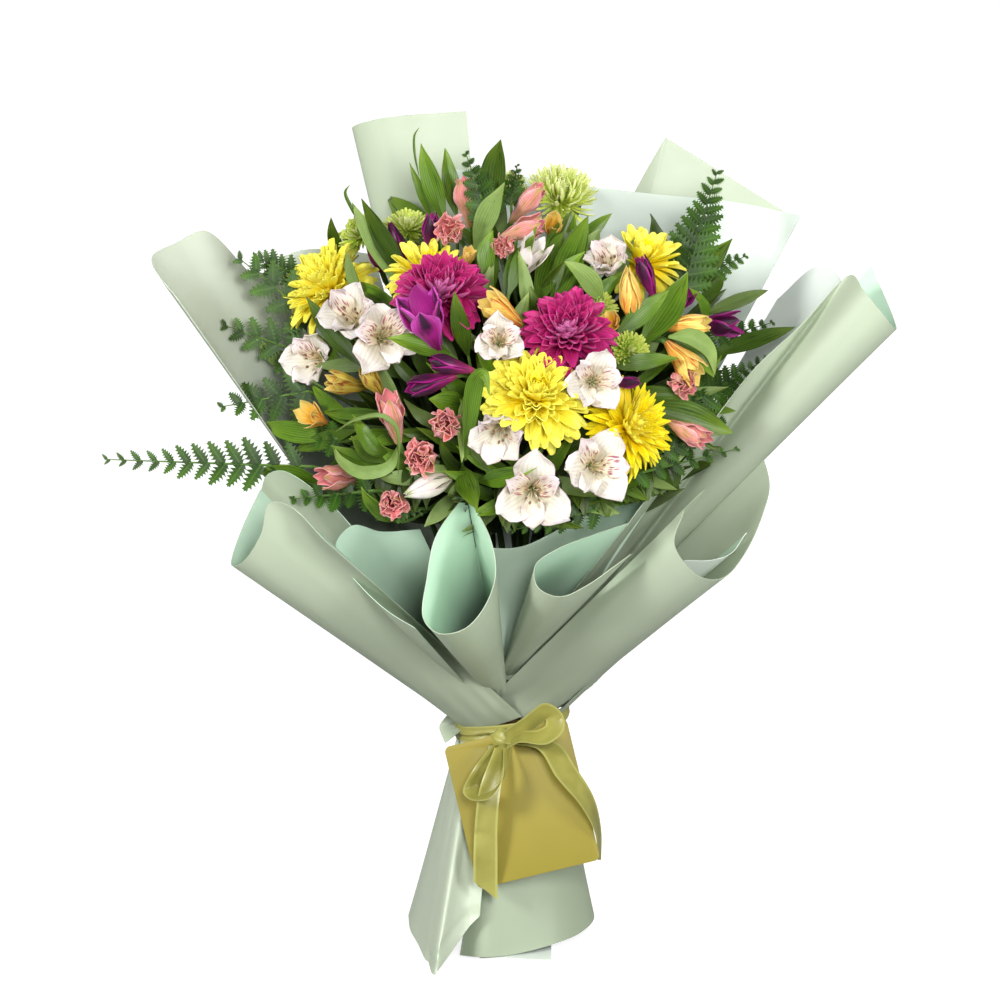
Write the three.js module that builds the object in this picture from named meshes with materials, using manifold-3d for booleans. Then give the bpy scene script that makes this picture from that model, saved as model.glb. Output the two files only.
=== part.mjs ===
// Mixed flower bouquet in two-tone wrapping sheets, standing on its stems and paper skirt.
// Millimetres, +Z up, front towards -Y. The origin is the middle of the footprint.
import * as THREE from 'three';
import { mergeVertices } from 'three/addons/utils/BufferGeometryUtils.js';
import Module from 'manifold-3d';

const wasm = await Module();
wasm.setup();

// ---- driving dimensions ----
const FRONT_TILT = 15 * Math.PI / 180;  // the front view is taken this far above level
const GAP = 0.4;                        // air left between neighbouring pieces
const PAPER = 0.9;                      // wrapping sheet, stand-in thickness
const LEAF = 1.2;                       // leaf blade at the midrib
const PETAL = 1.2;                      // petal at the middle
const PEDICEL = 1.2;                    // radius of a flower stalk
const FLORET_SCALE = 1.18;
const LEAF_SCALE = 1.3;
const SPRAY_DEPTH = 64;                 // from the florets to where their stalks meet
const LEAF_DEPTH = 44;
const RIBBON_WIDTH = 15.5;
const RIBBON = 0.8;
const BAND_RADIUS = 37.2;
const TIE_CENTRE_X = -5;
const TIE_HEIGHT = 151;
const TIE_SLOPE = 0.19;                 // the tie rises towards +X
const STEM_RADIUS = 1.9;
const STEM_FAN = 0.11;                  // how much of their spread the stems have at the tie
const STEM_BUNDLE = 16;                 // radius of the bound stems
const TWINE_RADIUS = 18.4;
const TWINE_THICKNESS = 3;
const TAG_WIDTH = 84;
const TAG_HEIGHT = 97;
const TAG_CORNER = 4;
const TAG_HOLE = 2.6;
const TAG = 1.2;
const DOME = { x: 5, y: -10, z: 360, rx: 150, ry: 125, rz: 145 };  // shell the blooms sit on

// ---- placing ----
const SIN = Math.sin(FRONT_TILT);
const COS = Math.cos(FRONT_TILT);
const V = (x, y, z) => new THREE.Vector3(x, y, z);
// across and up are measured in the front view, back is the depth
const at = (across, up, back) => V(across, back, (up - back * SIN) / COS);
const aim = (across, up, toward) =>
  V(across, up * SIN - toward * COS, up * COS + toward * SIN).normalize();

function domeBack(across, up) {
  const x = (across - DOME.x) / DOME.rx;
  const z0 = up / COS - DOME.z;
  const k = SIN / COS;
  const a = 1 / DOME.ry ** 2 + k ** 2 / DOME.rz ** 2;
  const b = -2 * DOME.y / DOME.ry ** 2 - 2 * z0 * k / DOME.rz ** 2;
  const c = (DOME.y / DOME.ry) ** 2 + (z0 / DOME.rz) ** 2 + x * x - 1;
  const d = Math.max(b * b - 4 * a * c, 0);
  return (-b - Math.sqrt(d)) / (2 * a);
}
const onDome = (across, up, lift) => at(across, up, domeBack(across, up) - lift);
const inward = (p, depth) => {
  const to = V(DOME.x, DOME.y, DOME.z - 60).sub(p);
  return p.clone().addScaledVector(to.normalize(), depth);
};
function tie(degrees, radius, lift) {
  const a = degrees * Math.PI / 180;
  const x = TIE_CENTRE_X + radius * Math.cos(a);
  return V(x, radius * Math.sin(a), TIE_HEIGHT + TIE_SLOPE * x + lift);
}

// ---- solids ----
function solid(points, triangles) {
  let volume = 0;
  for (const [a, b, c] of triangles) {
    volume += points[a].dot(points[b].clone().cross(points[c]));
  }
  const turned = volume < 0 ? triangles.map(([a, b, c]) => [a, c, b]) : triangles;
  const geometry = new THREE.BufferGeometry();
  geometry.setAttribute('position', new THREE.Float32BufferAttribute(points.flatMap((p) => p.toArray()), 3));
  geometry.setIndex(turned.flat());
  return fromGeometry(geometry);
}

function fromGeometry(geometry) {
  const bare = geometry.clone();
  bare.deleteAttribute('normal');
  bare.deleteAttribute('uv');
  const merged = mergeVertices(bare, 1e-4);
  const index = [];
  for (let i = 0; i < merged.index.count; i += 3) {
    const [a, b, c] = merged.index.array.slice(i, i + 3);
    if (a !== b && b !== c && c !== a) index.push(a, b, c);
  }
  return new wasm.Manifold(new wasm.Mesh({
    numProp: 3,
    vertProperties: new Float32Array(merged.attributes.position.array),
    triVerts: new Uint32Array(index),
  }));
}

// skin over rings of equal count; a ring of one point closes an end
function loft(rings) {
  const points = rings.flat();
  const starts = [];
  let n = 0;
  for (const ring of rings) {
    starts.push(n);
    n += ring.length;
  }
  const tris = [];
  for (let i = 0; i + 1 < rings.length; i++) {
    const a = rings[i].length;
    const b = rings[i + 1].length;
    const sides = Math.max(a, b);
    for (let j = 0; j < sides; j++) {
      const k = (j + 1) % sides;
      if (a > 1) tris.push([starts[i] + j, starts[i] + k, starts[i + 1] + (b > 1 ? k : 0)]);
      if (b > 1) tris.push([starts[i] + (a > 1 ? j : 0), starts[i + 1] + k, starts[i + 1] + j]);
    }
  }
  for (const [index, flip] of [[0, true], [rings.length - 1, false]]) {
    const count = rings[index].length;
    for (let j = 1; j + 1 < count; j++) {
      const t = [starts[index], starts[index] + j, starts[index] + j + 1];
      tris.push(flip ? [t[0], t[2], t[1]] : t);
    }
  }
  return solid(points, tris);
}

function tube(path, radii, sides, grow) {
  const rings = path.map((p, i) => {
    const t = path[Math.min(i + 1, path.length - 1)].clone().sub(path[Math.max(i - 1, 0)]).normalize();
    const s = t.clone().cross(Math.abs(t.z) > 0.95 ? V(1, 0, 0) : V(0, 0, 1)).normalize();
    const n = s.clone().cross(t);
    const end = i === 0 ? -grow : i === path.length - 1 ? grow : 0;
    return Array.from({ length: sides }, (_, j) => {
      const a = 2 * Math.PI * j / sides;
      return p.clone().addScaledVector(t, end)
        .addScaledVector(s, (radii[i] + grow) * Math.cos(a))
        .addScaledVector(n, (radii[i] + grow) * Math.sin(a));
    });
  });
  return loft(rings);
}

// pointed blade along a spine; cup lifts its edges towards the face direction
function blade(spine, widths, face, thickness, cup, grow) {
  let last = null;
  const rings = spine.map((p, i) => {
    const t = spine[Math.min(i + 1, spine.length - 1)].clone().sub(spine[Math.max(i - 1, 0)]).normalize();
    if (i === 0) return [p.clone().addScaledVector(t, -grow - (spine.length > 4 ? 3 : 0))];
    if (i === spine.length - 1) return [p.clone().addScaledVector(t, 2 * grow)];
    const s = t.clone().cross(face).normalize();
    if (last && s.dot(last) < 0) s.negate();
    last = s;
    const n = s.clone().cross(t).normalize();
    const half = widths[i - 1] / 2 + 2 * grow;
    const rise = cup * widths[i - 1];
    const h = thickness / 2 + grow;
    return [
      p.clone().addScaledVector(s, half).addScaledVector(n, rise),
      p.clone().addScaledVector(n, h),
      p.clone().addScaledVector(s, -half).addScaledVector(n, rise),
      p.clone().addScaledVector(n, -h),
    ];
  });
  return loft(rings);
}

// sheet lofted through rows of points, thickened along its normals
function sheet(rows, across, along, thickness, grow, corners = false) {
  const curve = (points) => (corners
    ? (u) => {
      const k = Math.min(Math.floor(u * (points.length - 1)), points.length - 2);
      return points[k].clone().lerp(points[k + 1], u * (points.length - 1) - k);
    }
    : (u) => new THREE.CatmullRomCurve3(points, false, 'centripetal').getPoint(u));
  const samples = rows.map((row) => Array.from({ length: across + 1 }, (_, j) => curve(row)(j / across)));
  const grid = [];
  for (let i = 0; i <= along; i++) {
    const v = i / along * (rows.length - 1);
    grid.push(samples[0].map((_, j) => {
      if (rows.length === 2) return samples[0][j].clone().lerp(samples[1][j], v);
      return new THREE.CatmullRomCurve3(samples.map((row) => row[j])).getPoint(i / along);
    }));
  }
  const pick = (i, j) => grid[Math.min(Math.max(i, 0), along)][Math.min(Math.max(j, 0), across)];
  const faces = [[], []];
  for (let i = 0; i <= along; i++) {
    for (let j = 0; j <= across; j++) {
      const du = pick(i, j + 1).clone().sub(pick(i, j - 1)).normalize();
      const dv = pick(i + 1, j).clone().sub(pick(i - 1, j)).normalize();
      const n = du.clone().cross(dv).normalize();
      const p = grid[i][j].clone();
      if (i === 0) p.addScaledVector(dv, -grow);
      if (i === along) p.addScaledVector(dv, grow);
      if (j === 0) p.addScaledVector(du, -grow);
      if (j === across) p.addScaledVector(du, grow);
      faces[0].push(p.clone().addScaledVector(n, thickness / 2 + grow));
      faces[1].push(p.clone().addScaledVector(n, -thickness / 2 - grow));
    }
  }
  const w = across + 1;
  const size = w * (along + 1);
  const tris = [];
  for (let i = 0; i < along; i++) {
    for (let j = 0; j < across; j++) {
      const a = i * w + j;
      tris.push([a, a + 1, a + w + 1], [a, a + w + 1, a + w]);
      tris.push([size + a, size + a + w + 1, size + a + 1], [size + a, size + a + w, size + a + w + 1]);
    }
  }
  const rim = [];
  for (let j = 0; j < across; j++) rim.push(j);
  for (let i = 0; i < along; i++) rim.push(i * w + across);
  for (let j = across; j > 0; j--) rim.push(along * w + j);
  for (let i = along; i > 0; i--) rim.push(i * w);
  rim.forEach((a, k) => {
    const b = rim[(k + 1) % rim.length];
    tris.push([a, size + a, size + b], [a, size + b, b]);
  });
  return solid([...faces[0], ...faces[1]], tris);
}

const ball = (p, r, grow) => fromGeometry(new THREE.IcosahedronGeometry(r + grow, 0).translate(p.x, p.y, p.z));
const join = (list) => wasm.Manifold.union(list);

function sideOf(axis) {
  const s = axis.clone().cross(V(0, 0, 1));
  return (s.length() < 0.1 ? V(1, 0, 0) : s).normalize();
}

// ---- flowers ----
// core of equal rings closed by two poles; a petal grows out of each side that petalOf gives one
function flowerSkin(poles, rings, petalOf, apart) {
  const points = [poles[0], ...rings.flat(), poles[1]];
  const n = rings[0].length;
  const id = (i, j) => 1 + i * n + (j % n);
  const tris = [];
  for (let j = 0; j < n; j++) {
    tris.push([0, id(0, j + 1), id(0, j)]);
    tris.push([points.length - 1, id(rings.length - 1, j), id(rings.length - 1, j + 1)]);
  }
  const loose = [];
  for (let i = 0; i + 1 < rings.length; i++) {
    for (let j = 0; j < n; j++) {
      const quad = [id(i, j), id(i, j + 1), id(i + 1, j + 1), id(i + 1, j)];
      const petal = petalOf(i, j);
      if (petal && apart) {
        const bands = petal.middle.length > 0 ? [petal.middle] : [];
        loose.push(loft([quad.map((k) => points[k]), ...bands, [petal.tip]]));
      }
      if (!petal || apart) {
        tris.push([quad[0], quad[1], quad[2]], [quad[0], quad[2], quad[3]]);
        continue;
      }
      const first = points.length;
      points.push(petal.tip, ...petal.middle);
      for (let k = 0; k < 4; k++) {
        const m = (k + 1) % 4;
        if (petal.middle.length === 0) {
          tris.push([quad[k], quad[m], first]);
          continue;
        }
        tris.push([quad[k], quad[m], first + 1 + m], [quad[k], first + 1 + m, first + 1 + k]);
        tris.push([first + 1 + k, first + 1 + m, first]);
      }
    }
  }
  return apart ? join([solid(points, tris), ...loose]) : solid(points, tris);
}

function petalShape(middle, tip, side, face, width, grow) {
  const w = width / 2 + grow;
  const t = PETAL / 2 + grow;
  const corner = (a, b) => middle.clone().addScaledVector(side, a * w).addScaledVector(face, b * t);
  const end = tip.clone().addScaledVector(tip.clone().sub(middle).normalize(), 2 * grow);
  return { middle: [corner(-1, -1), corner(1, -1), corner(1, 1), corner(-1, 1)], tip: end };
}

// many-petalled head: crowns of pointed petals round a small core
function mum(head, grow) {
  const { centre, axis, radius, crowns, count } = head;
  const side = sideOf(axis);
  const other = axis.clone().cross(side);
  const core = centre.clone().addScaledVector(axis, -radius * 0.1);
  const round = (turn) => side.clone().multiplyScalar(Math.cos(turn)).addScaledVector(other, Math.sin(turn));
  const r = radius * 0.3 + grow;
  const step = 2 * Math.PI / count;
  const lean = (a, turn) => round(turn).multiplyScalar(Math.sin(a)).addScaledVector(axis, Math.cos(a));
  const rings = Array.from({ length: crowns.length + 1 }, (_, i) => {
    const a = (118 - i * 96 / crowns.length) * Math.PI / 180;
    return Array.from({ length: count }, (_, j) => core.clone().addScaledVector(lean(a, j * step), r));
  });
  const poles = [core.clone().addScaledVector(axis, -r), core.clone().addScaledVector(axis, r * 1.1)];
  return flowerSkin(poles, rings, (i, j) => {
    const [degrees, reach, width] = crowns[i];
    const turn = (j + 0.5 + 0.3 * (i % 2)) * step;
    const a = degrees * Math.PI / 180;
    const dir = lean(a, turn);
    const face = lean(a - Math.PI / 2, turn);
    const middle = core.clone().addScaledVector(dir, radius * reach * 0.68).addScaledVector(face, -radius * 0.04);
    const tip = core.clone().addScaledVector(dir, radius * reach).addScaledVector(face, radius * 0.08);
    if (i === crowns.length - 1) return { middle: [], tip };
    return petalShape(middle, tip, round(turn + Math.PI / 2), face, radius * width, grow);
  }, grow > 0);
}
const DAISY_CROWNS = [[98, 1.0, 0.38], [64, 0.94, 0.34], [34, 0.8, 0]];
const BUTTON_CROWNS = [[86, 1.0, 0.46], [44, 0.9, 0]];

// lily-like floret: three broad and three narrow tepals on a short tube
function floret(f, grow) {
  const { base, axis, length, open, turn, hub } = f;
  const side = sideOf(axis);
  const other = axis.clone().cross(side);
  const round = (a) => side.clone().multiplyScalar(Math.cos(a)).addScaledVector(other, Math.sin(a));
  const count = open < 0.12 ? 5 : 6;
  const ringAt = (t, r) => Array.from({ length: count }, (_, j) => base.clone()
    .addScaledVector(axis, t * length).addScaledVector(round(turn + 2 * Math.PI * (j - 0.5) / count), r * length + grow));
  const down = hub.clone().sub(base).normalize();
  const bend = new THREE.Quaternion().setFromUnitVectors(axis, down.clone().negate());
  const foot = Array.from({ length: count }, (_, j) => hub.clone()
    .addScaledVector(round(turn + 2 * Math.PI * (j - 0.5) / count).applyQuaternion(bend), PEDICEL + grow));
  const start = hub.clone().addScaledVector(down, 1 + grow);
  if (open < 0.12) {
    return loft([[start], foot, ringAt(0.1, 0.1), ringAt(0.42, 0.2), ringAt(0.78, 0.14),
      [base.clone().addScaledVector(axis, length + grow)]]);
  }
  const poles = [start, base.clone().addScaledVector(axis, 0.4 * length + grow)];
  const fill = Math.min(0.5 + 0.5 * open, 1);
  return flowerSkin(poles, [foot, ringAt(0.06, 0.09), ringAt(0.28, 0.1)], (i, j) => {
    if (i === 0) return null;
    const wide = j % 2 === 0;
    const a = turn + Math.PI * j / 3;
    const out = round(a);
    const middle = base.clone().addScaledVector(axis, (0.62 - 0.14 * open) * length)
      .addScaledVector(out, (0.1 + 0.3 * open + (wide ? 0.06 - 0.03 * open : 0.03 * open - 0.06)) * length);
    const tip = base.clone().addScaledVector(axis, (1 - 0.42 * open) * length)
      .addScaledVector(out, open * (wide ? 0.8 : 0.7) * length);
    const face = axis.clone().addScaledVector(out, -1.2 * (1 - open)).normalize();
    return petalShape(middle, tip, round(a + Math.PI / 2), face, fill * (wide ? 0.46 : 0.3) * length, grow);
  }, grow > 0);
}

// ---- foliage ----
function leaf(l, grow) {
  const { tip, base, width, bow, hub } = l;
  const span = tip.clone().sub(base);
  const out = tip.clone().sub(V(DOME.x, DOME.y, DOME.z)).normalize();
  const points = [0.06, 0.36, 0.7, 1].map((t) => base.clone().addScaledVector(span, t)
    .addScaledVector(out, bow * Math.sin(Math.PI * t)));
  const face = V(0, -COS, SIN).addScaledVector(out, 0.6).normalize();
  const full = width * LEAF_SCALE;
  return blade([hub, ...points], [3, full * 0.88, full * 0.74], face, LEAF, 0.1, grow);
}

function frond(f, grow) {
  const { base, tip, sag, reach, pairs, face } = f;
  const spine = (t) => base.clone().lerp(tip, t).addScaledVector(face, sag * Math.sin(Math.PI * t));
  const stations = [spine(0), spine(0.5), spine(1)];
  const onRib = (t) => (t < 0.5 ? stations[0].clone().lerp(stations[1], 2 * t)
    : stations[1].clone().lerp(stations[2], 2 * t - 1));
  const parts = [tube(stations, [1.3, 1.2, 0.8], 3, grow)];
  for (let i = 0; i < pairs; i++) {
    const t = 0.16 + 0.72 * i / (pairs - 1);
    const dir = spine(Math.min(t + 0.05, 1)).sub(spine(t - 0.05)).normalize();
    const side = dir.clone().cross(face).normalize();
    const length = reach * (i === 0 ? 0.85 : 1 - 0.72 * i / pairs);
    for (const hand of [-1, 1]) {
      const out = side.clone().multiplyScalar(hand * 0.86).addScaledVector(dir, 0.5).normalize();
      const root = onRib(t);
      const mid = root.clone().addScaledVector(out, 0.45 * length);
      const end = root.clone().addScaledVector(out, length).addScaledVector(face, -0.12 * length);
      parts.push(blade([root, mid, end], [Math.max(length * 0.5, 5)], face, 1.3, 0, grow));
    }
  }
  return join(parts);
}

// ---- tables: across, up and depth in the front view ----
// wrapping sheets: foot row at the tie, rim row above, read from the left or the near side
const SHEETS = [
  { name: 'paper_left_roll', colour: 0xa9b79b, across: 10, along: 2, rows: [
    [tie(172, 32.6, 8), tie(190, 34.4, 4), tie(208, 35.4, 3), tie(235, 35.6, 4), tie(262, 35.6, 7), tie(280, 35.6, 9)],
    [at(-172, 297, -62), at(-184, 270, -82), at(-190, 248, -100), at(-181, 251, -116), at(-170, 268, -124),
      at(-164, 288, -126), at(-150, 285, -128), at(-128, 264, -132)]] },
  { name: 'paper_lower_right_roll', colour: 0x9fae93, across: 10, along: 2, rows: [
    [tie(8, 32, 14), tie(-12, 33, 8), tie(-38, 33.6, 3), tie(-62, 33.6, 2), tie(-84, 33, 9), tie(-112, 33, 26)],
    [at(158, 326, -56), at(165, 300, -60), at(161, 281, -66), at(151, 258, -80), at(136, 240, -98),
      at(121, 239, -114), at(108, 249, -124), at(101, 263, -128), at(107, 283, -124)]] },
  { name: 'paper_low_right_sheet', colour: 0x9aa78f, across: 7, along: 1, rows: [
    [tie(-46, 35.7, 0), tie(-22, 35.7, 2), tie(2, 35.4, 6), tie(24, 34.6, 10)],
    [at(99, 221, -92), at(108, 220, -66), at(112, 232, -30), at(116, 250, 0)]] },
  { name: 'paper_front_leaf_cone', colour: 0x9cb79b, across: 11, along: 2, rows: [
    [tie(252, 28, 30), tie(243, 30, 27), tie(246, 32.5, 24), tie(256, 33, 24), tie(264, 31, 27), tie(262, 28, 31)],
    [at(-37, 291, -103), at(-56, 266, -112), at(-61, 240, -124), at(-64, 212, -138), at(-54, 202, -146),
      at(-37, 205, -150), at(-25, 218, -147), at(-18, 240, -138), at(-18, 262, -124), at(-31, 289, -106)]] },
  { name: 'paper_right_roll', colour: 0xa6b598, across: 9, along: 2, rows: [
    [tie(-46, 31, 34), tie(-58, 32.5, 30), tie(-74, 33, 29), tie(-88, 32, 34), tie(-84, 29, 40)],
    [at(233, 443, -34), at(222, 436, -52), at(221, 425, -74), at(236, 413, -84), at(246, 402, -72),
      at(240, 404, -48)]] },
  { name: 'paper_front_right_cone', colour: 0xa9c3ae, across: 10, along: 2, rows: [
    [tie(-86, 26, 44), tie(-104, 27, 42), tie(-106, 29.5, 38), tie(-92, 30, 37), tie(-78, 28.5, 41)],
    [at(71, 275, -104), at(46, 267, -108), at(24, 258, -114), at(10, 247, -124), at(12, 233, -134),
      at(26, 227, -138), at(44, 234, -136), at(62, 246, -130), at(73, 254, -122)]] },
  { name: 'paper_front_left_pocket', colour: 0x97b49c, across: 10, along: 2, rows: [
    [tie(234, 31, 18), tie(222, 31, 17), tie(206, 30.5, 16), tie(214, 26, 21), tie(232, 22, 30)],
    [at(-69, 206, -118), at(-88, 217, -108), at(-106, 233, -98), at(-119, 250, -90), at(-121, 262, -84),
      at(-110, 273, -80), at(-92, 269, -76), at(-66, 271, -80)]] },
  { name: 'paper_front_collar', colour: 0x5f7462, across: 7, along: 1, rows: [
    [tie(232, 21, 44), tie(258, 21.5, 46), tie(288, 22, 46), tie(322, 24, 34)],
    [at(-30, 258, -92), at(0, 259, -95), at(36, 277, -92), at(62, 288, -86), at(92, 296, -72)]] },
  { name: 'paper_left_sheet', colour: 0xb9c8b0, across: 10, along: 2, rows: [
    [tie(196, 31, 12), tie(186, 32.5, 10), tie(170, 32, 12), tie(150, 30, 16), tie(136, 28, 20)],
    [at(-228, 424, -34), at(-241, 441, -24), at(-243, 452, -8), at(-228, 461, 12), at(-210, 469, 28),
      at(-188, 449, 44), at(-172, 429, 54), at(-158, 408, 60)]] },
  { name: 'paper_left_rear_sheet', colour: 0xa3b096, across: 6, along: 1, rows: [
    [tie(150, 33, 14), tie(128, 32, 18), tie(112, 30, 22)],
    [at(-171, 447, 71), at(-148, 457, 80), at(-126, 458, 88), at(-98, 455, 96)]] },
  { name: 'paper_back_left_sheet', colour: 0xbccab2, across: 7, along: 1, rows: [
    [tie(138, 35, 14), tie(122, 34.5, 18), tie(104, 33, 22), tie(84, 31.5, 26)],
    [at(-104, 533, 132), at(-112, 540, 118), at(-97, 545, 106), at(-73, 548, 104), at(-35, 550, 106),
      at(-28, 540, 107)]] },
  { name: 'paper_back_right_sheet', colour: 0xcfe0d0, across: 7, along: 1, rows: [
    [tie(98, 29.5, 26), tie(76, 30.5, 24), tie(48, 31, 20), tie(22, 31, 18)],
    [at(-48, 512, 98), at(-13, 509, 98), at(40, 501, 97), at(90, 495, 92), at(140, 490, 84), at(188, 480, 66)]] },
  { name: 'paper_back_corner', colour: 0xb4bfa9, across: 2, along: 1, corners: true, rows: [
    [tie(76, 34, 24), tie(62, 34.5, 22), tie(48, 35, 20)],
    [at(66, 478, 108), at(98, 533, 108), at(176, 484, 92)]] },
  { name: 'paper_right_inner_sheet', colour: 0xb8cfba, across: 6, along: 1, rows: [
    [tie(30, 33.5, 18), tie(14, 33, 18), tie(-6, 32, 22)],
    [at(172, 424, 48), at(196, 445, 36), at(213, 437, 14), at(205, 420, -14)]] },
];

// skirt under the tie: hem points run round from the front left
const SKIRT_HEM = [at(-40, -15, -60), at(-27, -16, -67), at(-8, -15, -62), at(12, -11, -54), at(26, -7, -46),
  at(39, -2, -32), at(49, 6, -10), at(47, 13, 18), at(30, 12, 40), at(0, 14, 51), at(-30, 13, 47),
  at(-50, 9, 30), at(-56, 1, 2), at(-50, -8, -32)];
const HEM_LIFT = 0.8;                   // the hem rides just above the surface
const lifted = (points) => points.map((p) => p.clone().add(V(0, 0, HEM_LIFT)));
const SKIRT_PANEL_HEM = [at(-75, 9, 24), at(-73, 0, -6), at(-68, -8, -36), at(-63, -18, -72), at(-57, -26, -102),
  at(-47, -14, -84), at(-36, 2, -71), at(-27, 12, -70)];

const YELLOW = 0xf3cf1c;
const MAGENTA = 0xb01b72;
const LIME = 0xa9c23a;
const head = (across, up, lift, direction, radius, crowns) => ({
  centre: onDome(across, up, lift), axis: aim(...direction), radius, crowns, count: crowns.length > 2 ? (radius > 33 ? 8 : 7) : 5 });
const MUMS = [
  { name: 'yellow_mum_centre', colour: YELLOW, heads: [head(10, 357, 6, [0.1, 0.35, 0.93], 38, DAISY_CROWNS)] },
  { name: 'yellow_mum_left', colour: YELLOW, heads: [head(-127, 431, 0, [-0.6, 0.6, 0.5], 36, DAISY_CROWNS)] },
  { name: 'yellow_mum_right', colour: YELLOW, heads: [head(71, 337, 4, [0.7, 0.2, 0.65], 34, DAISY_CROWNS)] },
  { name: 'yellow_mum_top', colour: YELLOW, heads: [head(-59, 438, -14, [0, 0.85, 0.5], 32, DAISY_CROWNS)] },
  { name: 'yellow_mum_top_right', colour: YELLOW, heads: [head(80, 447, -12, [0.2, 0.8, 0.5], 31, DAISY_CROWNS)] },
  { name: 'magenta_mum_left', colour: MAGENTA, heads: [head(-52, 425, 8, [-0.1, 0.6, 0.8], 33, DAISY_CROWNS)] },
  { name: 'magenta_mum_right', colour: MAGENTA, heads: [head(31, 399, 4, [0, 0.5, 0.85], 32, DAISY_CROWNS)] },
  { name: 'green_mums_top', colour: LIME, heads: [head(27, 491, 0, [0.1, 0.7, 0.7], 26, DAISY_CROWNS),
    head(-7, 497, -6, [0, 0.7, 0.7], 14, BUTTON_CROWNS)] },
  { name: 'green_buttons_left', colour: LIME, heads: [head(-105, 466, -8, [-0.4, 0.7, 0.6], 17, BUTTON_CROWNS),
    head(-75, 471, -10, [0, 0.9, 0.5], 17, BUTTON_CROWNS)] },
  { name: 'green_buttons_right', colour: LIME, heads: [head(52, 417, -10, [0.2, 0.7, 0.7], 13, BUTTON_CROWNS),
    head(72, 388, -4, [0.4, 0.2, 0.85], 14, BUTTON_CROWNS)] },
];

// florets: across, up, lift, direction, length, how open, turn
const WHITE = 0xf3efe4;
const PINK = 0xe88a8a;
const AMBER = 0xeeb54e;
const PURPLE = 0x7c1f5f;
const SPRAYS = [
  { name: 'white_spray_left', colour: WHITE, florets: [
    [-112, 413, 8, [-0.3, 0.45, 0.85], 34, 0.8, 0.3], [-89, 398, 16, [0.15, 0.1, 1], 38, 0.95, 0.9],
    [-139, 383, 4, [-0.5, 0, 0.85], 33, 0.8, 0.2]] },
  { name: 'white_spray_centre', colour: WHITE, florets: [
    [-14, 394, 12, [0, 0.1, 1], 29, 0.8, 0.5], [48, 367, 16, [0.1, 0, 1], 31, 0.95, 0.1]] },
  { name: 'white_spray_front', colour: WHITE, florets: [
    [-14, 332, 10, [-0.15, -0.5, 0.85], 34, 0.9, 0.2], [8, 294, 20, [0, -0.15, 1], 38, 0.95, 0.5],
    [50, 312, 16, [0.2, 0, 0.95], 36, 0.95, 0], [-60, 299, 14, [-0.8, -0.3, 0.5], 30, 0.08, 0.4]] },
  { name: 'white_spray_top', colour: WHITE, florets: [
    [58, 448, -4, [-0.1, 0.6, 0.75], 30, 0.6, 0.4], [6, 450, 2, [0.4, 0.75, 0.5], 34, 0.3, 0.1]] },
  { name: 'pink_spray_top', colour: PINK, florets: [
    [-36, 489, 4, [-0.15, 0.9, 0.35], 32, 0.3, 0.2], [-45, 467, 8, [-0.3, 0.2, 0.9], 25, 0.7, 0.4]] },
  { name: 'pink_spray_top_right', colour: PINK, florets: [
    [5, 487, 2, [0.6, 0.7, 0.4], 30, 0.35, 0.3], [3, 468, 8, [0.85, 0.3, 0.5], 30, 0.35, 0],
    [-10, 456, 6, [-0.3, 0.1, 0.9], 20, 0.6, 0.2]] },
  { name: 'pink_spray_front_left', colour: PINK, florets: [
    [-84, 345, 12, [-0.2, 0.85, 0.45], 34, 0.35, 0.4], [-50, 338, 10, [0.1, 0.2, 0.95], 26, 0.6, 0],
    [-64, 318, 14, [-0.2, -0.1, 0.95], 26, 0.7, 0.5], [-119, 305, 6, [-0.9, 0, 0.4], 32, 0.4, 0.1],
    [-84, 289, 16, [0, -0.2, 0.95], 25, 0.65, 0.2]] },
  { name: 'pink_spray_right', colour: PINK, florets: [
    [104, 367, 6, [0.3, -0.1, 0.9], 23, 0.6, 0.2], [111, 334, 4, [0.8, -0.4, 0.4], 30, 0.35, 0.1]] },
  { name: 'amber_spray_centre', colour: AMBER, florets: [
    [-14, 415, 10, [-0.75, 0.5, 0.5], 32, 0.4, 0.3], [21, 470, -8, [0.1, 0.3, 0.9], 24, 0.3, 0.3]] },
  { name: 'amber_spray_right', colour: AMBER, florets: [
    [72, 424, 8, [-0.1, 0.95, 0.3], 30, 0.08, 0],
    [110, 405, 8, [0.95, 0.05, 0.3], 32, 0.2, 0.3], [108, 380, 14, [0.6, -0.7, 0.5], 34, 0.3, 0]] },
  { name: 'amber_spray_left', colour: AMBER, florets: [
    [-116, 366, 12, [-0.85, 0.1, 0.5], 30, 0.3, 0.2], [-97, 368, 8, [-0.5, 0.7, 0.4], 24, 0.25, 0.5],
    [-137, 345, 6, [-0.6, 0.3, 0.7], 25, 0.45, 0.1]] },
  { name: 'purple_spray_centre', colour: PURPLE, florets: [
    [-62, 407, 22, [-0.5, 0.8, 0.4], 38, 0.3, 0.2], [-46, 378, 14, [-0.9, 0.2, 0.4], 28, 0.2, 0.1],
    [-59, 366, 14, [-0.9, -0.3, 0.4], 32, 0.2, 0.3]] },
  { name: 'purple_buds_top', colour: PURPLE, florets: [
    [-95, 457, 2, [-0.2, 0.95, 0.3], 28, 0.08, 0], [-82, 461, -6, [-0.3, 0.9, 0.3], 26, 0.08, 0],
    [-59, 466, -4, [0, 0.95, 0.3], 26, 0.15, 0.2]] },
  { name: 'purple_spray_right', colour: PURPLE, florets: [
    [83, 438, 4, [-0.3, 0.9, 0.4], 28, 0.15, 0.2], [132, 406, 2, [0.95, 0, 0.3], 30, 0.35, 0.2],
    [108, 421, -6, [0.5, 0.6, 0.5], 20, 0.2, 0]] },
];

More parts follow.
